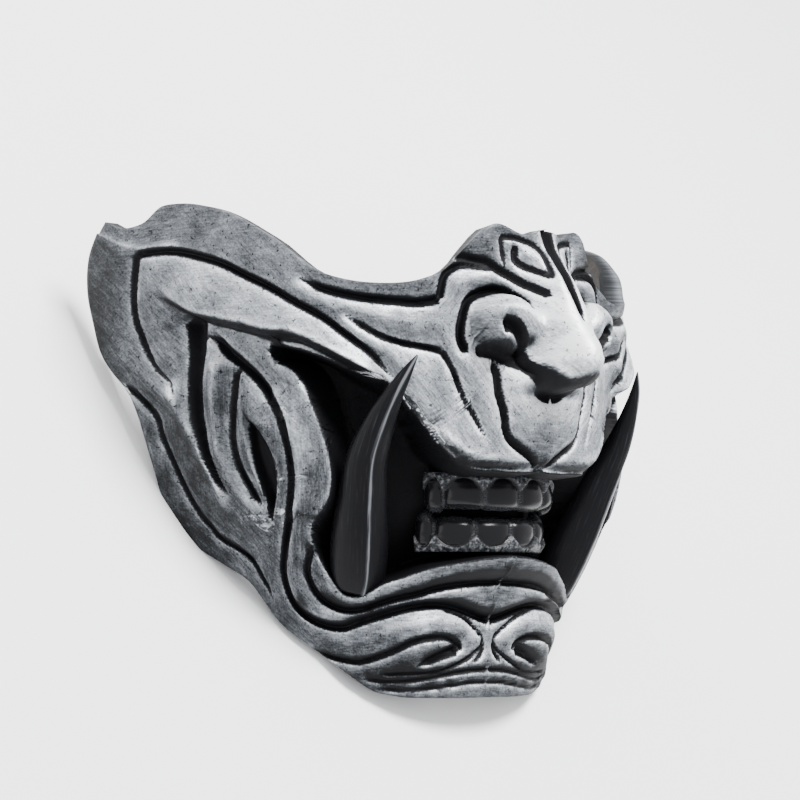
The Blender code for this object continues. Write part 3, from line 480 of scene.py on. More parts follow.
def within(path, s, h):
    """True inside a closed path, by counting the edges crossed on the way out."""
    inside = np.zeros(s.shape, bool)
    for start, end in zip(path, np.roll(path, -1, axis=0)):
        if start[1] != end[1]:
            crossing = start[0] + (h - start[1]) * (end[0] - start[0]) / (end[1] - start[1])
            inside ^= ((start[1] > h) != (end[1] > h)) & (s < crossing)
    return inside


# Nose down the middle: height, reach of its bridge and half width of its bell, all in mm
BRIDGE = np.array((
    (84.0, 0.0, 9.0), (88.5, 0.0, 9.0), (90.5, 7.0, 9.4), (93.0, 12.5, 10.0), (97.0, 15.6, 10.6),
    (101.0, 16.9, 11.2), (106.7, 16.4, 12.0), (109.7, 15.5, 12.5), (116.6, 12.2, 11.6),
    (122.5, 8.9, 10.6), (128.0, 5.0, 9.8), (132.5, 1.6, 9.4), (137.0, 0.0, 9.0), (150.0, 0.0, 9.0)))
TIP = (0.0, 97.6, 10.8, 10.4, 18.4, 2.0)
WINGS = (19.4, 109.6, 11.6, 9.6, 10.6, 2.6)
NOSE_BLEND = 5.0
BRIDGE_FOOT = 88.0
DOME_WALL = 2.4
# Middle strip where the domes end in a soft step, and the height of that step, in mm
STRIP_HALF = 9.0
STRIP_FADE = 4.0
STEP = 2.0


def nose(s, h):
    """Bridge with a bell section, and a ball tip and side wings as flattened domes, blended.

    The blend is the fifth root of the sum of fifth powers. The ball and wings stop at the nose's
    foot line and nostril rim, and the bridge runs on up between the brows.
    """
    reach, half = (through_rows(BRIDGE[:, 0], BRIDGE[:, column], h) for column in (1, 2))
    bridge = reach * np.exp(-(s / half) ** 2)
    total = np.zeros(s.shape)
    for middle, level, wide, tall, rise, fullness in (TIP, WINGS):
        off = np.hypot((s - middle) / wide, (h - level) / tall)
        total += (rise * np.sqrt(np.clip(1.0 - off ** fullness, 0.0, 1.0))) ** NOSE_BLEND
    foot = drawn(NOSE_FOOT)
    rim = drawn(NOSTRIL_RIM)
    top = rim[0][1]
    body = np.concatenate([foot[::-1], rim[::-1], [[0.0, top]], [[-STRIP_HALF, top]],
                           [[-STRIP_HALF, foot[-1][1]]]])
    edge = np.minimum(near(foot, s, h)[0], near(rim, s, h)[0])
    inside = ease(np.where(within(body, s, h), edge, 0.0) / DOME_WALL)
    above = ease((STEP + h - top) / STEP) * ease((STRIP_HALF - s) / STRIP_FADE)
    total *= np.maximum(inside, above) ** NOSE_BLEND
    total += np.maximum(bridge * ease((h - BRIDGE_FOOT) / STEP), 0.0) ** NOSE_BLEND
    return total ** (1.0 / NOSE_BLEND)


def relief(s, h):
    """Carving over the plain form in mm, with what the brush follows.

    It adds swellings, raised edges, the overhanging cheek band and the nose, takes away sharp
    gouges with soft shoulders, the lens hollow and the mouth, and returns the lift, the distance
    outside the nearest dark line, the nearness of a raised edge, and the way the lines run as the
    cosine and sine of twice their angle.
    """
    lift = nose(s, h)
    cut = np.full(s.shape, 18.0)
    crest = np.zeros(s.shape)
    flow = np.zeros(s.shape + (2,)) + (0.06, 0.02)
    gouge = np.zeros(s.shape)
    for middle, level, wide, tall, slant, swell in SWELLINGS:
        turn = math.radians(slant)
        off_s = s - middle * ARC
        off_h = h - level * HEIGHT
        first = (off_s * math.cos(turn) + off_h * math.sin(turn)) / (wide * ARC)
        second = (off_h * math.cos(turn) - off_s * math.sin(turn)) / (tall * HEIGHT)
        lift = lift + swell * np.exp(-2.0 * (first**2 + second**2))

    def follow(dist, heading, weight):
        """Adds a line's heading to the flow, fading away from the line."""
        double = np.stack([heading[..., 0] ** 2 - heading[..., 1] ** 2,
                           2.0 * heading[..., 0] * heading[..., 1]], axis=-1)
        flow[...] += (weight * np.exp(-dist / GRAIN_REACH))[..., None] * double

    for rows, start_width, end_width, depth, start_run, end_run in CUTS:
        path = drawn(rows)
        dist, side, share, heading = near(path, s, h)
        long = np.hypot(*np.diff(path, axis=0).T).sum()
        taper = ease(share * long / start_run) * ease((1.0 - share) * long / end_run)
        half = GOUGE_HALF * (start_width + (end_width - start_width) * share)
        cut = np.minimum(cut, dist - half * taper)
        fall = np.clip(1.0 - dist / half, 0.0, 1.0) ** GOUGE_POWER
        gouge = np.maximum(gouge, GOUGE_GAIN * depth * taper * fall)
        follow(dist, heading, 1.0)
    for rows, rise, left, right_fall in CRESTS:
        dist, side, share, heading = near(drawn(rows), s, h)
        end = 1.0 if rows[-1][0] == 0.0 else ease((1.0 - share) / CREST_FADE)
        fade = ease(share / CREST_FADE) * end
        lift += rise * fade * np.exp(-(dist / np.where(side > 0.0, left, right_fall)) ** 2)
        crest = np.maximum(crest, fade * np.exp(-(dist / 1.1) ** 2))
        follow(dist, heading, 1.4)

    dist, side, share, heading = near(drawn(WING_RIDGE), s, h)
    above = np.where(side < 0.0, 1.0, 0.0) * ease((1.0 - share) / 0.4)
    lift -= WING_TOP_DROP * above * (1.0 - np.exp(-dist / 5.0))
    crest = np.maximum(crest, 0.8 * np.exp(-(dist / 1.2) ** 2) * ease((1.0 - share) / 0.3))
    follow(dist, heading, 1.0)

    dist, side, share, heading = near(drawn(BAND_EDGE), s, h, 40.0)
    fade = ease(share / 0.10) * ease((1.0 - share) / 0.25)
    above = ease(side * dist / BAND_WALL + 0.5)
    high = above * BAND_RISE * np.exp(-dist / BAND_RISE_REACH)
    lift += fade * (high - (1.0 - above) * BAND_FALL * np.exp(-dist / BAND_FALL_REACH))
    crest = np.maximum(crest, fade * np.exp(-((side * dist - 1.6) / 1.3) ** 2))
    follow(dist, heading, 1.6)

    dist, side, share, heading = near(drawn(LIP_PANEL), s, h)
    beside = np.where(side < 0.0, 1.0 - np.exp(-dist / 1.5), 0.0)
    lift += PANEL_RISE * beside * ease(share / 0.25) * (h < PANEL_TOP)

    lift -= gouge + SHOULDER_DEPTH * np.exp(-np.maximum(cut, 0.0) / SHOULDER_REACH)

    hole = drawn(LENS_HOLE)
    hollow = np.where(within(hole, s, h), near(hole, s, h)[0], 0.0)
    lift -= LENS_DEPTH * ease(hollow / LENS_WALL)
    shade = np.where(within(hole, s, h), 1.6 - 1.3 * hollow - (0.66 * ARC - s) / 4.0, 18.0)
    cut = np.minimum(cut, shade)

    top = drawn(MOUTH_TOP)
    back = drawn(MOUTH_BACK)
    closed = np.concatenate([[[-ARC, top[0][1]]], top, back[1:], [[-ARC, back[-1][1]]]])
    edge, side, share, heading = near(np.concatenate([top, back[1:]]), s, h, 60.0)
    mouth = np.where(within(closed, s, h), edge, -edge)
    follow(edge, heading, 1.0)
    lip = ease((h / HEIGHT - LIP_FROM) / 0.02) * ease((LIP_TO - s / ARC) / 0.03)
    lift -= lip * LIP_BEVEL * ease(1.0 + mouth / LIP_BEVEL)
    cut = np.minimum(cut, -mouth)
    floor = ease(mouth / MOUTH_WALL)
    return lift * (1.0 - floor) - MOUTH_DEPTH * floor, cut, crest, flow


def outline_place(u, v):
    """Shares round and up for a grid position: a patch stretched between its four edges.

    It is the sum of the two straight blends between facing edges less the blend of the corners.
    """
    steps = np.linspace(0.0, 1.0, 200)
    bottom, top, far = (smooth_path(rows, 200) for rows in (JAW_EDGE, TOP_RIM, BACK_EDGE))
    place = []
    for axis in (0, 1):
        low = np.interp(u, steps, bottom[:, axis])
        high = np.interp(u, steps, top[:, axis])
        end = np.interp(v, steps, far[:, axis])
        middle = bottom[0, axis] + v * (top[0, axis] - bottom[0, axis])
        corners = ((1 - u) * ((1 - v) * bottom[0, axis] + v * top[0, axis])
                   + u * ((1 - v) * bottom[-1, axis] + v * top[-1, axis]))
        place.append((1 - v) * low + v * high + (1 - u) * middle + u * end - corners)
    return place


def soften(values, rounds):
    """Each value averaged with its four neighbours, counted double itself, so many times."""
    for _ in range(rounds):
        padded = np.pad(values, 1, mode="edge")
        values = (2 * padded[1:-1, 1:-1] + padded[:-2, 1:-1] + padded[2:, 1:-1]
                  + padded[1:-1, :-2] + padded[1:-1, 2:]) / 6.0
    return values


def respaced(values, cells):
    """Grid lines moved so that each cell of a row spans an equal share of its surface."""
    travelled = np.concatenate([np.zeros((1, cells.shape[1])), np.cumsum(cells, axis=0)])
    return np.stack([np.interp(np.linspace(0.0, way[-1], len(way)), way, line)
                     for way, line in zip(travelled.T, values.T)], axis=1)


u, v = np.meshgrid(np.linspace(0.0, 1.0, CELLS_ROUND + 1), np.linspace(0.0, 1.0, CELLS_UP + 1),
                   indexing="ij")
for _ in range(2):
    around, up = outline_place(u, v)
    points = carved(around, up, relief(around * ARC, up * HEIGHT)[0])
    v = respaced(v.T, soften(np.linalg.norm(np.diff(points, axis=1), axis=2), 12).T).T
    around, up = outline_place(u, v)
    points = carved(around, up, relief(around * ARC, up * HEIGHT)[0])
    u = respaced(u, soften(np.linalg.norm(np.diff(points, axis=0), axis=2), 12))
around, up = outline_place(u, v)
lift, cut, crest, flow = relief(around * ARC, up * HEIGHT)


def lowest_round(values, reach):
    """Lowest value within so many cells each way."""
    for axis in (0, 1):
        padded = np.pad(values, [(reach, reach) if axis == other else (0, 0) for other in (0, 1)],
                        mode="edge")
        length = values.shape[axis]
        values = np.min([np.take(padded, np.arange(step, step + length), axis=axis)
                         for step in range(2 * reach + 1)], axis=0)
    return values


def both_sides(half, flip=()):
    """A half grid and its mirror image across the middle line, as one grid."""
    mirror = half[:0:-1].copy()
    for column in flip:
        mirror[..., column] *= -1.0
    return np.concatenate([mirror, half])


# Silver tone: the brush's cover from the table above, with painted light from above and painted shade
# under overhangs added by facing
brush_and_shade_tone = np.full(cut.shape, BASE_TONE)
for middle, level, wide, tall, gain in BRUSH_AND_SHADE_TONES:
    brush_and_shade_tone += gain * np.exp(-((around - middle) / wide) ** 2 - ((up - level) / tall) ** 2)
points = carved(around, up, lift)
facing = np.cross(np.gradient(points, axis=0), np.gradient(points, axis=1))
facing /= np.maximum(np.linalg.norm(facing, axis=-1, keepdims=True), 1e-9)
level = facing[..., 2]
# Painted light and shade: faces turned up are made lighter and faces turned down darker, and faces
# turned well down, as under the nose and the cheek band, are made near black as painted shade
brush_and_shade_tone += 0.24 * ease(level / 0.5) - 0.16 * ease((0.12 - level) / 0.4)
brush_and_shade_tone -= 0.85 * soften(ease((-level - 0.50) / 0.28), 2)
strength = np.linalg.norm(flow, axis=-1, keepdims=True)
flow /= np.maximum(strength, 1e-6)

outer = both_sides(carved(around, up, lift), (0,))
deep = lowest_round(lift, 14)
deep = np.minimum(deep, soften(deep, 8)) - WALL
inner = both_sides(carved(around, up, deep)[::INNER_EVERY, ::INNER_EVERY], (0,))
place = both_sides(np.stack([around * ARC, up * HEIGHT, np.zeros_like(up)], axis=-1), (0,))
# Channels: distance outside the nearest dark line, silver tone with painted light and shade in it,
# nearness of a raised edge
paint_and_shade = both_sides(np.stack([cut, brush_and_shade_tone, crest], axis=-1))
grain = both_sides(np.concatenate([flow, np.zeros_like(strength)], axis=-1), (1,))


def border(columns, rows, first=0):
    """Numbers of a grid's points round its border."""
    index = first + np.arange(columns * rows).reshape(columns, rows)
    return np.concatenate([index[:-1, 0], index[-1, :-1], index[:0:-1, -1], index[0, :0:-1]])


def quads(columns, rows, first=0):
    """Four-sided faces between the points of a grid."""
    corner = first + np.arange((columns - 1) * rows).reshape(columns - 1, rows)[:, :-1].ravel()
    return np.stack([corner, corner + rows, corner + rows + 1, corner + 1], axis=1)


def rings_joined(first, second):
    """Four-sided faces between two closed rings of the same count."""
    return np.stack([np.roll(first, -1), first, second, np.roll(second, -1)], axis=1)


# The rim runs straight from the carved face's edge to the inner edge in three bands, then meets the
# inner grid
columns, rows = outer.shape[:2]
in_columns, in_rows = inner.shape[:2]
face_points = outer.reshape(-1, 3)
back_points = inner.reshape(-1, 3)
outer_ring = border(columns, rows)
back_ring = border(in_columns, in_rows)
between = np.arange(len(outer_ring)) / INNER_EVERY
whole = between.astype(int)
fraction = (between - whole)[:, None]
back_edge = ((1.0 - fraction) * back_points[back_ring[whole % len(back_ring)]]
             + fraction * back_points[back_ring[(whole + 1) % len(back_ring)]])
front_edge = face_points[outer_ring]
bands = []
for share in (0.16, 0.50, 0.84):
    bands.append(front_edge + share * (back_edge - front_edge))
first_band = len(face_points)
first_back = first_band + 3 * len(outer_ring)
points = np.concatenate([face_points] + bands + [back_points])
faces = [quads(columns, rows)]
rings = [outer_ring] + [first_band + number * len(outer_ring) + np.arange(len(outer_ring))
                        for number in range(3)]
faces += [rings_joined(one, two) for one, two in zip(rings, rings[1:])]
triangles = []
near_ring = first_back + back_ring
for step in range(INNER_EVERY):
    ring = np.roll(rings[-1], -step)[::INNER_EVERY]
    after = np.roll(rings[-1], -step - 1)[::INNER_EVERY]
    apex = near_ring if step < INNER_EVERY // 2 else np.roll(near_ring, -1)
    triangles.append(np.stack([after, ring, apex], axis=1))
middle = np.roll(rings[-1], -(INNER_EVERY // 2))[::INNER_EVERY]
triangles.append(np.stack([middle, near_ring, np.roll(near_ring, -1)], axis=1))
inner_faces = quads(in_columns, in_rows, first_back)[:, ::-1]

lying = np.clip(laid(points), *np.array(cad_box))
shell_mesh = bpy.data.meshes.new("face_shell_carved")
polygons = [tuple(face) for group in faces + triangles + [inner_faces] for face in group.tolist()]
shell_mesh.from_pydata(lying.tolist(), [], polygons)


def spread(values, fill, shares=(0.0, 0.0, 0.0)):
    """Values of the carved face, led over the rim by shares to one value for the inside."""
    flat = values.reshape(-1, values.shape[-1])
    ring = flat[outer_ring]
    over_rim = [ring + share * (np.array(fill) - ring) for share in shares]
    return np.concatenate([flat] + over_rim + [np.tile(fill, (len(back_points), 1))])


def attribute(mesh, name, values):
    """A vector attribute on the points of a mesh."""
    mesh.attributes.new(name, "FLOAT_VECTOR", "POINT").data.foreach_set(
        "vector", np.ascontiguousarray(values, float).ravel())


attribute(shell_mesh, "place", spread(place, (0.0, 0.0, 0.0)))
attribute(shell_mesh, "paint_and_shade", spread(paint_and_shade, (4.0, 0.1, 0.0), (0.0, 0.7, 1.0)))
attribute(shell_mesh, "grain", spread(grain, (1.0, 0.0, 0.0)))
shell_mesh.polygons.foreach_set("use_smooth", np.ones(len(polygons), bool))
slots = np.zeros(len(polygons), int)
slots[-len(inner_faces):] = 1
shell_mesh.polygons.foreach_set("material_index", slots)
shell = bpy.data.objects.new("face_shell_carved", shell_mesh)
bpy.context.scene.collection.objects.link(shell)


def wire(tree, start, end):
    """Joins two sockets."""
    tree.links.new(start, end)


def math_node(tree, operation, first, second=None, third=None, clamp=False):
    """A Math node; each input is a number or a socket."""
    node = tree.nodes.new("ShaderNodeMath")
    node.operation = operation
    node.use_clamp = clamp
    for socket, value in zip(node.inputs, (first, second, third)):
        if isinstance(value, (int, float)):
            socket.default_value = value
        elif value is not None:
            wire(tree, value, socket)
    return node.outputs[0]


def noise_node(tree, vector, scale, detail, roughness):
    """A Noise node on a vector; returns its value."""
    node = tree.nodes.new("ShaderNodeTexNoise")
    node.inputs["Scale"].default_value = scale
    node.inputs["Detail"].default_value = detail
    node.inputs["Roughness"].default_value = roughness
    wire(tree, vector, node.inputs["Vector"])
    return node.outputs["Fac"]


def remap(tree, value, low, high, new_low=0.0, new_high=1.0):
    """A clamped Map Range node."""
    node = tree.nodes.new("ShaderNodeMapRange")
    wire(tree, value, node.inputs["Value"])
    for name, number in (("From Min", low), ("From Max", high), ("To Min", new_low),
                         ("To Max", new_high)):
        node.inputs[name].default_value = number
    return node.outputs["Result"]


def ramp_node(tree, value, stops):
    """A Color Ramp node through grey or coloured stops."""
    node = tree.nodes.new("ShaderNodeValToRGB")
    wire(tree, value, node.inputs["Fac"])
    elements = node.color_ramp.elements
    while len(elements) < len(stops):
        elements.new(0.5)
    for element, (at, colour) in zip(elements, stops):
        element.position = at
        element.color = (*colour, 1.0)
    return node.outputs["Color"]


def read(tree, name):
    """The vector of a mesh attribute."""
    node = tree.nodes.new("ShaderNodeAttribute")
    node.attribute_name = name
    return node.outputs["Vector"]


def new_group(name, inputs, outputs):
    """A shader node group with its own sockets; returns it with its input and output nodes."""
    group = bpy.data.node_groups.new(name, "ShaderNodeTree")
    for socket, kind, value in inputs:
        made = group.interface.new_socket(socket, in_out="INPUT", socket_type=kind)
        if value is not None:
            made.default_value = value
    for socket, kind in outputs:
        group.interface.new_socket(socket, in_out="OUTPUT", socket_type=kind)
    return group, group.nodes.new("NodeGroupInput"), group.nodes.new("NodeGroupOutput")


# Strokes of a dry brush: noise drawn out along the way the brush went. Four fixed directions are
# mixed by how well each one agrees with the grain.
strokes, given, put = new_group(
    "dry_brush", (("Place", "NodeSocketVector", None), ("Grain", "NodeSocketVector", None),
                  ("Length", "NodeSocketFloat", 9.0), ("Width", "NodeSocketFloat", 0.7)),
    (("Stroke", "NodeSocketFloat"),))
total = None
for quarter in range(4):
    turned = strokes.nodes.new("ShaderNodeVectorRotate")
    turned.rotation_type = "Z_AXIS"
    turned.inputs["Angle"].default_value = -quarter * math.pi / 4.0
    wire(strokes, given.outputs["Place"], turned.inputs["Vector"])
    sizes = strokes.nodes.new("ShaderNodeCombineXYZ")
    wire(strokes, given.outputs["Length"], sizes.inputs["X"])
    wire(strokes, given.outputs["Width"], sizes.inputs["Y"])
    sizes.inputs["Z"].default_value = 1.0
    drawn_out = strokes.nodes.new("ShaderNodeVectorMath")
    drawn_out.operation = "DIVIDE"
    wire(strokes, turned.outputs["Vector"], drawn_out.inputs[0])
    wire(strokes, sizes.outputs["Vector"], drawn_out.inputs[1])
    offset = strokes.nodes.new("ShaderNodeVectorMath")
    offset.operation = "ADD"
    offset.inputs[1].default_value = (17.3 * quarter, 5.1 * quarter, 3.7 * quarter)
    wire(strokes, drawn_out.outputs["Vector"], offset.inputs[0])
    fleck = noise_node(strokes, offset.outputs["Vector"], 1.0, 5.0, 0.62)
    agree = strokes.nodes.new("ShaderNodeVectorMath")
    agree.operation = "DOT_PRODUCT"
    agree.inputs[1].default_value = (math.cos(quarter * math.pi / 2.0),
                                     math.sin(quarter * math.pi / 2.0), 0.0)
    wire(strokes, given.outputs["Grain"], agree.inputs[0])
    weight = math_node(strokes, "MAXIMUM", agree.outputs["Value"], 0.0)
    weight = math_node(strokes, "POWER", weight, 1.4)
    term = math_node(strokes, "MULTIPLY", math_node(strokes, "SUBTRACT", fleck, 0.5), weight)
    total = term if total is None else math_node(strokes, "ADD", total, term)
wire(strokes, math_node(strokes, "ADD", total, 0.5), put.inputs["Stroke"])


def add_strokes(tree, place_socket, grain_socket, length, width):
    """The dry brush group placed in a material, for one size of bristle mark."""
    node = tree.nodes.new("ShaderNodeGroup")
    node.node_tree = strokes
    wire(tree, place_socket, node.inputs["Place"])
    wire(tree, grain_socket, node.inputs["Grain"])
    node.inputs["Length"].default_value = length
    node.inputs["Width"].default_value = width
    return node.outputs["Stroke"]


def new_finish(name, roughness, gloss):
    """A material with its tree and shader, and how strongly its bare surface shines."""
    material = bpy.data.materials.new(name)
    material.use_nodes = True
    shader = material.node_tree.nodes["Principled BSDF"]
    shader.inputs["Roughness"].default_value = roughness
    shader.inputs["Specular IOR Level"].default_value = gloss
    return material, material.node_tree, shader


def add_bump(tree, shader, height, strength, distance):
    """A Bump node that feeds the shader's normal."""
    bump = tree.nodes.new("ShaderNodeBump")
    bump.inputs["Strength"].default_value = strength
    bump.inputs["Distance"].default_value = distance
    wire(tree, height, bump.inputs["Height"])
    wire(tree, bump.outputs["Normal"], shader.inputs["Normal"])


def mottled(tree, value, parts):
    """The value plus each part's gain times how far that part is from one half."""
    for part, gain in parts:
        value = math_node(tree, "ADD", value, math_node(tree, "MULTIPLY_ADD", part, gain, -gain / 2))
    return value


silvered, tree, shader = new_finish("silver_over_black", 0.5, 0.12)
where = read(tree, "place")
way = read(tree, "grain")
split = tree.nodes.new("ShaderNodeSeparateXYZ")
wire(tree, read(tree, "paint_and_shade"), split.inputs[0])
beyond, brushed_and_shaded, raised = split.outputs
broad = add_strokes(tree, where, way, 7.0, 1.5)
fine = add_strokes(tree, where, way, 4.0, 0.42)
blotch = noise_node(tree, where, 0.11, 4.0, 0.6)
grit = noise_node(tree, where, 1.5, 4.0, 0.68)
speck = noise_node(tree, where, 0.62, 6.0, 0.74)
bare = remap(tree, mottled(tree, beyond, ((grit, 1.0), (fine, 0.6))), -0.05, 0.55)
# The middle channel carries the brush's silver together with painted light from above and painted shade
# under overhangs, and so does the silver cover worked out from it
cover_and_shade = mottled(tree, brushed_and_shaded, ((broad, 0.50), (fine, 0.50), (blotch, 0.50), (grit, 0.55)))
cover_and_shade = math_node(tree, "ADD", cover_and_shade, math_node(tree, "MULTIPLY", raised, 0.24))
cover_and_shade = math_node(tree, "ADD", cover_and_shade, remap(tree, beyond, 0.5, 2.4, 0.16, 0.0))
cover_and_shade = math_node(tree, "SUBTRACT", cover_and_shade, remap(tree, speck, 0.585, 0.640, 0.0, 0.55))
cover_and_shade = math_node(tree, "SUBTRACT", cover_and_shade, remap(tree, fine, 0.66, 0.74, 0.0, 0.45))
cover_and_shade = math_node(tree, "MULTIPLY", cover_and_shade, bare, clamp=True)
colour = ramp_node(tree, cover_and_shade, (
    (0.00, (0.002, 0.002, 0.003)), (0.16, (0.007, 0.008, 0.009)), (0.34, (0.036, 0.039, 0.044)),
    (0.52, (0.110, 0.118, 0.130)), (0.70, (0.250, 0.264, 0.283)), (0.86, (0.470, 0.484, 0.504)),
    (1.00, (0.740, 0.752, 0.768))))
wire(tree, colour, shader.inputs["Base Color"])
wire(tree, remap(tree, cover_and_shade, 0.3, 0.9, 0.0, 0.30), shader.inputs["Metallic"])
wire(tree, remap(tree, cover_and_shade, 0.0, 0.6, 0.62, 0.46), shader.inputs["Roughness"])
height = math_node(tree, "MULTIPLY_ADD", fine, 0.35, math_node(tree, "MULTIPLY", broad, 0.5))
add_bump(tree, shader, height, 0.5, 0.0004)
shell_mesh.materials.append(silvered)

inside, tree, shader = new_finish("dark_inside", 0.62, 0.15)
spot = tree.nodes.new("ShaderNodeTexCoord").outputs["Object"]
mottle = noise_node(tree, spot, 60.0, 5.0, 0.6)
wire(tree, ramp_node(tree, mottle, ((0.30, (0.006, 0.005, 0.004)), (0.70, (0.022, 0.018, 0.015)))),
     shader.inputs["Base Color"])
add_bump(tree, shader, noise_node(tree, spot, 220.0, 4.0, 0.6), 0.6, 0.0006)
shell_mesh.materials.append(inside)

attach(shell, "root")
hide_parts("face_shell")

# Teeth
# Two cast strips, each a scalloped gum with its row of blunt teeth, set into the mouth behind the
# lips. They are sprayed gloss black with the shell, and the brush only caught gum and tooth edges.
ARCH_RADIUS = 28.0
GUM_THICKNESS = 4.2
TOOTH_RISE = 3.4
# Teeth of one side: middle and half width in degrees, share of the strip's height; then each
# strip: level of its tips or foot, height in the solid and here, front, and 1 where it hangs
UPPER_TEETH = ((12.8, 12.8, 1.00), (38.2, 12.6, 0.92), (57.0, 6.0, 1.12))
LOWER_TEETH = ((12.8, 12.8, 1.00), (38.2, 12.6, 1.05), (57.0, 6.0, 1.45))
TEETH_STRIPS = (
    ("upper_teeth", UPPER_TEETH, 55.2, 7.0, 11.4, 8.0, 1.0),
    ("lower_teeth", LOWER_TEETH, 45.8, 7.8, 10.4, 14.5, -1.0),
)
# Section from the tips over the front to the top of the gum: share up, share out, share of the rise
STRIP_FRONT = np.array((
    (0.00, 0.42, 0.05), (0.03, 0.62, 0.35), (0.10, 0.82, 0.72), (0.22, 0.96, 0.95),
    (0.38, 1.00, 1.00), (0.52, 0.98, 0.98), (0.64, 0.96, 0.86), (0.76, 1.00, 0.60),
    (0.90, 0.98, 0.15), (1.00, 0.86, 0.00)))
STATIONS = 22
FRONT_STEPS = 36


def teeth_strip(teeth, tip, height, front, hanging):
    """Surface of angle round the arch and share up the section; the back is two straight steps.

    Each tooth swells as the square root of one less its share to the power 2.6, its tip rounds
    off towards both sides, and the gum's edge dips between teeth.
    """
    share = (np.arange(STATIONS) + 0.5) / STATIONS * 2.0 - 1.0
    angle = np.concatenate([middle + share * half for middle, half, _ in teeth])
    local = np.tile(share, len(teeth))
    long = np.concatenate([1.0 + (length - 1.0) * (1.0 - share**2) - 0.10 * share**4
                           for _, _, length in teeth])
    angle = np.radians(np.concatenate([-angle[::-1], angle]))
    local = np.concatenate([-local[::-1], local])
    long = np.concatenate([long[::-1], long])
    swell = np.sqrt(np.clip(1.0 - np.abs(local) ** 2.6, 0.0, 1.0))
    k = np.linspace(0.0, 1.0, FRONT_STEPS)
    out = through_rows(STRIP_FRONT[:, 0], STRIP_FRONT[:, 1], k) * GUM_THICKNESS
    bulge = through_rows(STRIP_FRONT[:, 0], STRIP_FRONT[:, 2], k)
    gum_line = 0.84 - 0.38 * np.abs(local) ** 2.4
    gum = ease((k[None, :] - gum_line[:, None]) / 0.07)
    out = out + (bulge[None, :] * swell[:, None] - 0.62 * (1.0 - gum)) * TOOTH_RISE * 0.62
    out = out + gum * 0.35 * (1.0 - swell[:, None])
    out = np.maximum(out, 0.2 * GUM_THICKNESS)
    up_strip = k[None, :] * height - (long[:, None] - 1.0) * 0.5 * height * ease((0.5 - k) / 0.5)
    back = np.array(((1.0, 0.0), (0.10, 0.0)))
    out = np.concatenate([out, np.zeros((len(angle), 2))], axis=1)
    up_strip = np.concatenate([up_strip, np.tile(back[:, 0] * height, (len(angle), 1))], axis=1)
    z = tip + up_strip if hanging > 0.0 else tip + height - up_strip
    radius = ARCH_RADIUS - GUM_THICKNESS + out
    x = radius * np.sin(angle)[:, None]
    y = front + ARCH_RADIUS - radius * np.cos(angle)[:, None]
    edge = np.minimum((1.0 - np.abs(local))[:, None] * 6.0, 6.0) + 0.0 * out
    marks = np.stack([np.concatenate([gum, np.ones((len(angle), 2))], axis=1), edge,
                      up_strip / height], axis=-1)
    where = np.stack([np.broadcast_to(angle[:, None] * ARCH_RADIUS, z.shape), z,
                      np.zeros_like(z)], axis=-1)
    return np.stack([x, y, z], axis=-1), marks, where


def tube_faces(stations, count, turn_over):
    """Four-sided faces round a tube of closed sections, with both ends capped."""
    index = np.arange(stations * count).reshape(stations, count)
    side = np.roll(index, -1, axis=1)
    sheet = np.stack([index[:-1], side[:-1], side[1:], index[1:]], axis=-1).reshape(-1, 4)
    sheet = [tuple(face) for face in sheet.tolist()] + [tuple(index[0][::-1].tolist()),
                                                        tuple(index[-1].tolist())]
    return [face[::-1] for face in sheet] if turn_over else sheet


def seated(points, node):
    """Worn points laid down and shifted so that their box is centred on the CAD node's box."""
    lying = laid(points).reshape(-1, 3)
    low, high = (np.array(corner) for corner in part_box(node))
    return lying + (low + high) / 2.0 - (lying.min(axis=0) + lying.max(axis=0)) / 2.0


def outward_faces(points, faces):
    """True when the faces of a closed mesh enclose a positive volume."""
    corners = np.array([(face[0], face[step], face[step + 1])
                        for face in faces for step in range(1, len(face) - 1)])
    first, second, third = points[corners].transpose(1, 0, 2)
    return np.einsum("ij,ij->i", first, np.cross(second, third)).sum() > 0.0


def new_piece(name, node, points, faces, finish):
    """A closed, smooth-shaded piece that replaces a CAD node and rides on the mask."""
    if not outward_faces(points, faces):
        faces = [face[::-1] for face in faces]
    mesh = bpy.data.meshes.new(name)
    mesh.from_pydata(points.tolist(), [], faces)
    mesh.polygons.foreach_set("use_smooth", [len(face) == 4 for face in faces])
    mesh.materials.append(finish)
    piece = bpy.data.objects.new(name, mesh)
    bpy.context.scene.collection.objects.link(piece)
    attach(piece, "root")
    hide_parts(node)
    return mesh


enamel, tree, shader = new_finish("black_enamel_teeth", 0.25, 0.18)
split = tree.nodes.new("ShaderNodeSeparateXYZ")
wire(tree, read(tree, "marks"), split.inputs[0])
gum_share, from_edge, from_tip = split.outputs
where = read(tree, "place")
speck = noise_node(tree, where, 0.9, 5.0, 0.65)
scratch = noise_node(tree, where, 2.6, 3.0, 0.6)
caught = math_node(tree, "MULTIPLY", gum_share, remap(tree, speck, 0.42, 0.62, 0.10, 1.00))
edge_line = math_node(tree, "MULTIPLY", remap(tree, from_edge, 0.2, 1.3, 1.0, 0.0),
                      remap(tree, scratch, 0.42, 0.62, 0.0, 0.55))
tip_line = math_node(tree, "MULTIPLY", remap(tree, from_tip, 0.02, 0.16, 1.0, 0.0),
                     remap(tree, scratch, 0.40, 0.62, 0.0, 0.5))
silver_share = math_node(tree, "MAXIMUM", caught, math_node(tree, "MAXIMUM", edge_line, tip_line))
wire(tree, ramp_node(tree, silver_share, ((0.0, (0.004, 0.004, 0.005)), (0.5, (0.034, 0.036, 0.040)),
                                          (1.0, (0.150, 0.156, 0.168)))), shader.inputs["Base Color"])
wire(tree, remap(tree, silver_share, 0.0, 0.6, 0.22, 0.46), shader.inputs["Roughness"])
straight_in = np.array((0.0, math.cos(LEAN), -math.sin(LEAN)))
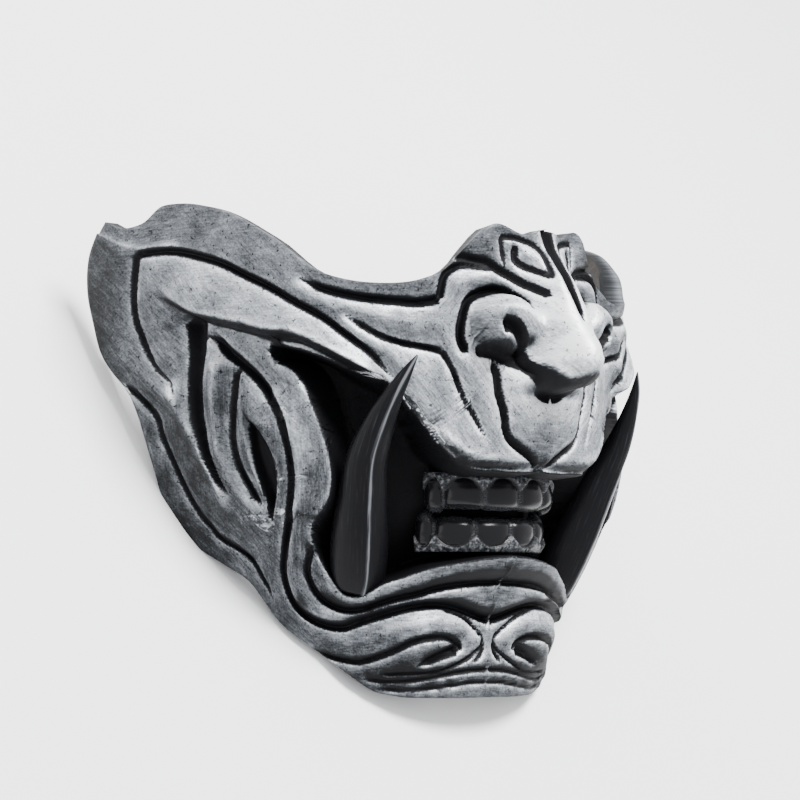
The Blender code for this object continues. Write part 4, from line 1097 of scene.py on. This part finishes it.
for name, teeth, tip, short, height, front, hanging in TEETH_STRIPS:
    stub = teeth_strip(teeth, tip, short, front, hanging)[0]
    depth = (seated(stub, name) - laid(stub).reshape(-1, 3))[0] @ straight_in
    foot = tip if hanging > 0.0 else tip + short - height
    points, marks, where_on = teeth_strip(teeth, foot, height, front, hanging)
    stations, count = points.shape[:2]
    lying = laid(points).reshape(-1, 3) + depth * straight_in
    mesh = new_piece(name + "_row", name, lying, tube_faces(stations, count, False), enamel)
    attribute(mesh, "marks", marks.reshape(-1, 3))
    attribute(mesh, "place", where_on.reshape(-1, 3))

# Tusks
# Two long horns, cast apart and glued into the lower jaw beside the teeth. Each curves up and
# forward to a point and has a sharp ridge down its front, where the black is rubbed to silver.
TUSK_LENGTH_UP = 62.5
TUSK_FOOT = 35.0
TUSK_WIDTH = 14.8
TUSK_THICKNESS = 10.8
# Share of the rise, place across and back as shares of the mask's half width and back reach,
# share of the full width; the root runs on below the foot by a share of the rise
TUSK_STATIONS = np.array((
    (-0.10, 0.440, 0.384, 1.10), (0.00, 0.460, 0.346, 1.16), (0.10, 0.480, 0.322, 1.20),
    (0.36, 0.532, 0.262, 1.02), (0.54, 0.560, 0.218, 0.84), (0.67, 0.566, 0.172, 0.66),
    (0.81, 0.556, 0.124, 0.42), (0.92, 0.536, 0.086, 0.23), (1.00, 0.514, 0.062, 0.04)))
TUSK_ROOT = -0.03
TUSK_SIDES = 48
TUSK_RINGS = 90


def tusk(side, start):
    """Oval rings square to a curved path, drawn out in front by a narrow bell into a ridge."""
    share = np.linspace(start, 1.0, TUSK_RINGS)
    column = [through_rows(TUSK_STATIONS[:, 0], TUSK_STATIONS[:, number], share)
              for number in (1, 2, 3)]
    centre = np.stack([side * column[0] * HALF_WIDTH, column[1] * BACK_REACH,
                       TUSK_FOOT + share * TUSK_LENGTH_UP], axis=1)
    along = np.gradient(centre, axis=0)
    along /= np.linalg.norm(along, axis=1, keepdims=True)
    facing = np.array([0.35 * side, -1.0, 0.0])
    forward = facing - (along @ facing)[:, None] * along
    forward /= np.linalg.norm(forward, axis=1, keepdims=True)
    sideways = np.cross(along, forward)
    turn = np.arange(TUSK_SIDES) * 2.0 * math.pi / TUSK_SIDES
    signed = np.where(turn > math.pi, turn - 2.0 * math.pi, turn)
    ridge = 1.0 + 0.18 * np.exp(-np.abs(signed) / 0.30)
    ring = ((np.cos(turn) * ridge * TUSK_THICKNESS / 2.0)[None, :, None] * forward[:, None, :]
            + (np.sin(turn) * TUSK_WIDTH / 2.0)[None, :, None] * sideways[:, None, :])
    points = centre[:, None, :] + column[2][:, None, None] * ring
    off_ridge = np.abs(signed)[None, :] * column[2][:, None] * TUSK_WIDTH / 2.0
    marks = np.stack([off_ridge, np.broadcast_to(share[:, None], off_ridge.shape),
                      np.zeros_like(off_ridge)], axis=-1)
    place_on = np.stack([np.broadcast_to(share[:, None] * 70.0, off_ridge.shape),
                         signed[None, :] * column[2][:, None] * TUSK_WIDTH / 2.0,
                         np.zeros_like(off_ridge)], axis=-1)
    return points, marks, place_on


horn, tree, shader = new_finish("black_enamel_tusks", 0.30, 0.08)
split = tree.nodes.new("ShaderNodeSeparateXYZ")
wire(tree, read(tree, "marks"), split.inputs[0])
off_ridge, up_tusk = split.outputs[:2]
where = read(tree, "place")
lengthwise = tree.nodes.new("ShaderNodeCombineXYZ")
lengthwise.inputs["X"].default_value = 1.0
streaks = add_strokes(tree, where, lengthwise.outputs["Vector"], 13.0, 0.7)
worn = math_node(tree, "MULTIPLY_ADD", streaks, 1.6, -0.8)
line = remap(tree, math_node(tree, "ADD", off_ridge, worn),
             0.15, 0.75, 0.75, 0.0)
veil = math_node(tree, "MULTIPLY", remap(tree, streaks, 0.56, 0.74, 0.0, 0.30),
                 remap(tree, up_tusk, 0.15, 0.9, 0.35, 1.0))
silver_share = math_node(tree, "MAXIMUM", line, veil)
wire(tree, ramp_node(tree, silver_share, ((0.0, (0.004, 0.004, 0.005)), (0.5, (0.036, 0.038, 0.042)),
                                          (1.0, (0.180, 0.187, 0.200)))), shader.inputs["Base Color"])
wire(tree, remap(tree, silver_share, 0.0, 0.6, 0.28, 0.48), shader.inputs["Roughness"])
add_bump(tree, shader, streaks, 0.35, 0.0004)
for name, side in (("tusk_left", 1.0), ("tusk_right", -1.0)):
    free = tusk(side, 0.0)[0]
    points, marks, place_on = tusk(side, TUSK_ROOT)
    lying = laid(points).reshape(-1, 3) + (seated(free, name) - laid(free).reshape(-1, 3))[0]
    mesh = new_piece(name + "_horn", name, lying,
                     tube_faces(TUSK_RINGS, TUSK_SIDES, False), horn)
    attribute(mesh, "marks", marks.reshape(-1, 3))
    attribute(mesh, "place", place_on.reshape(-1, 3))
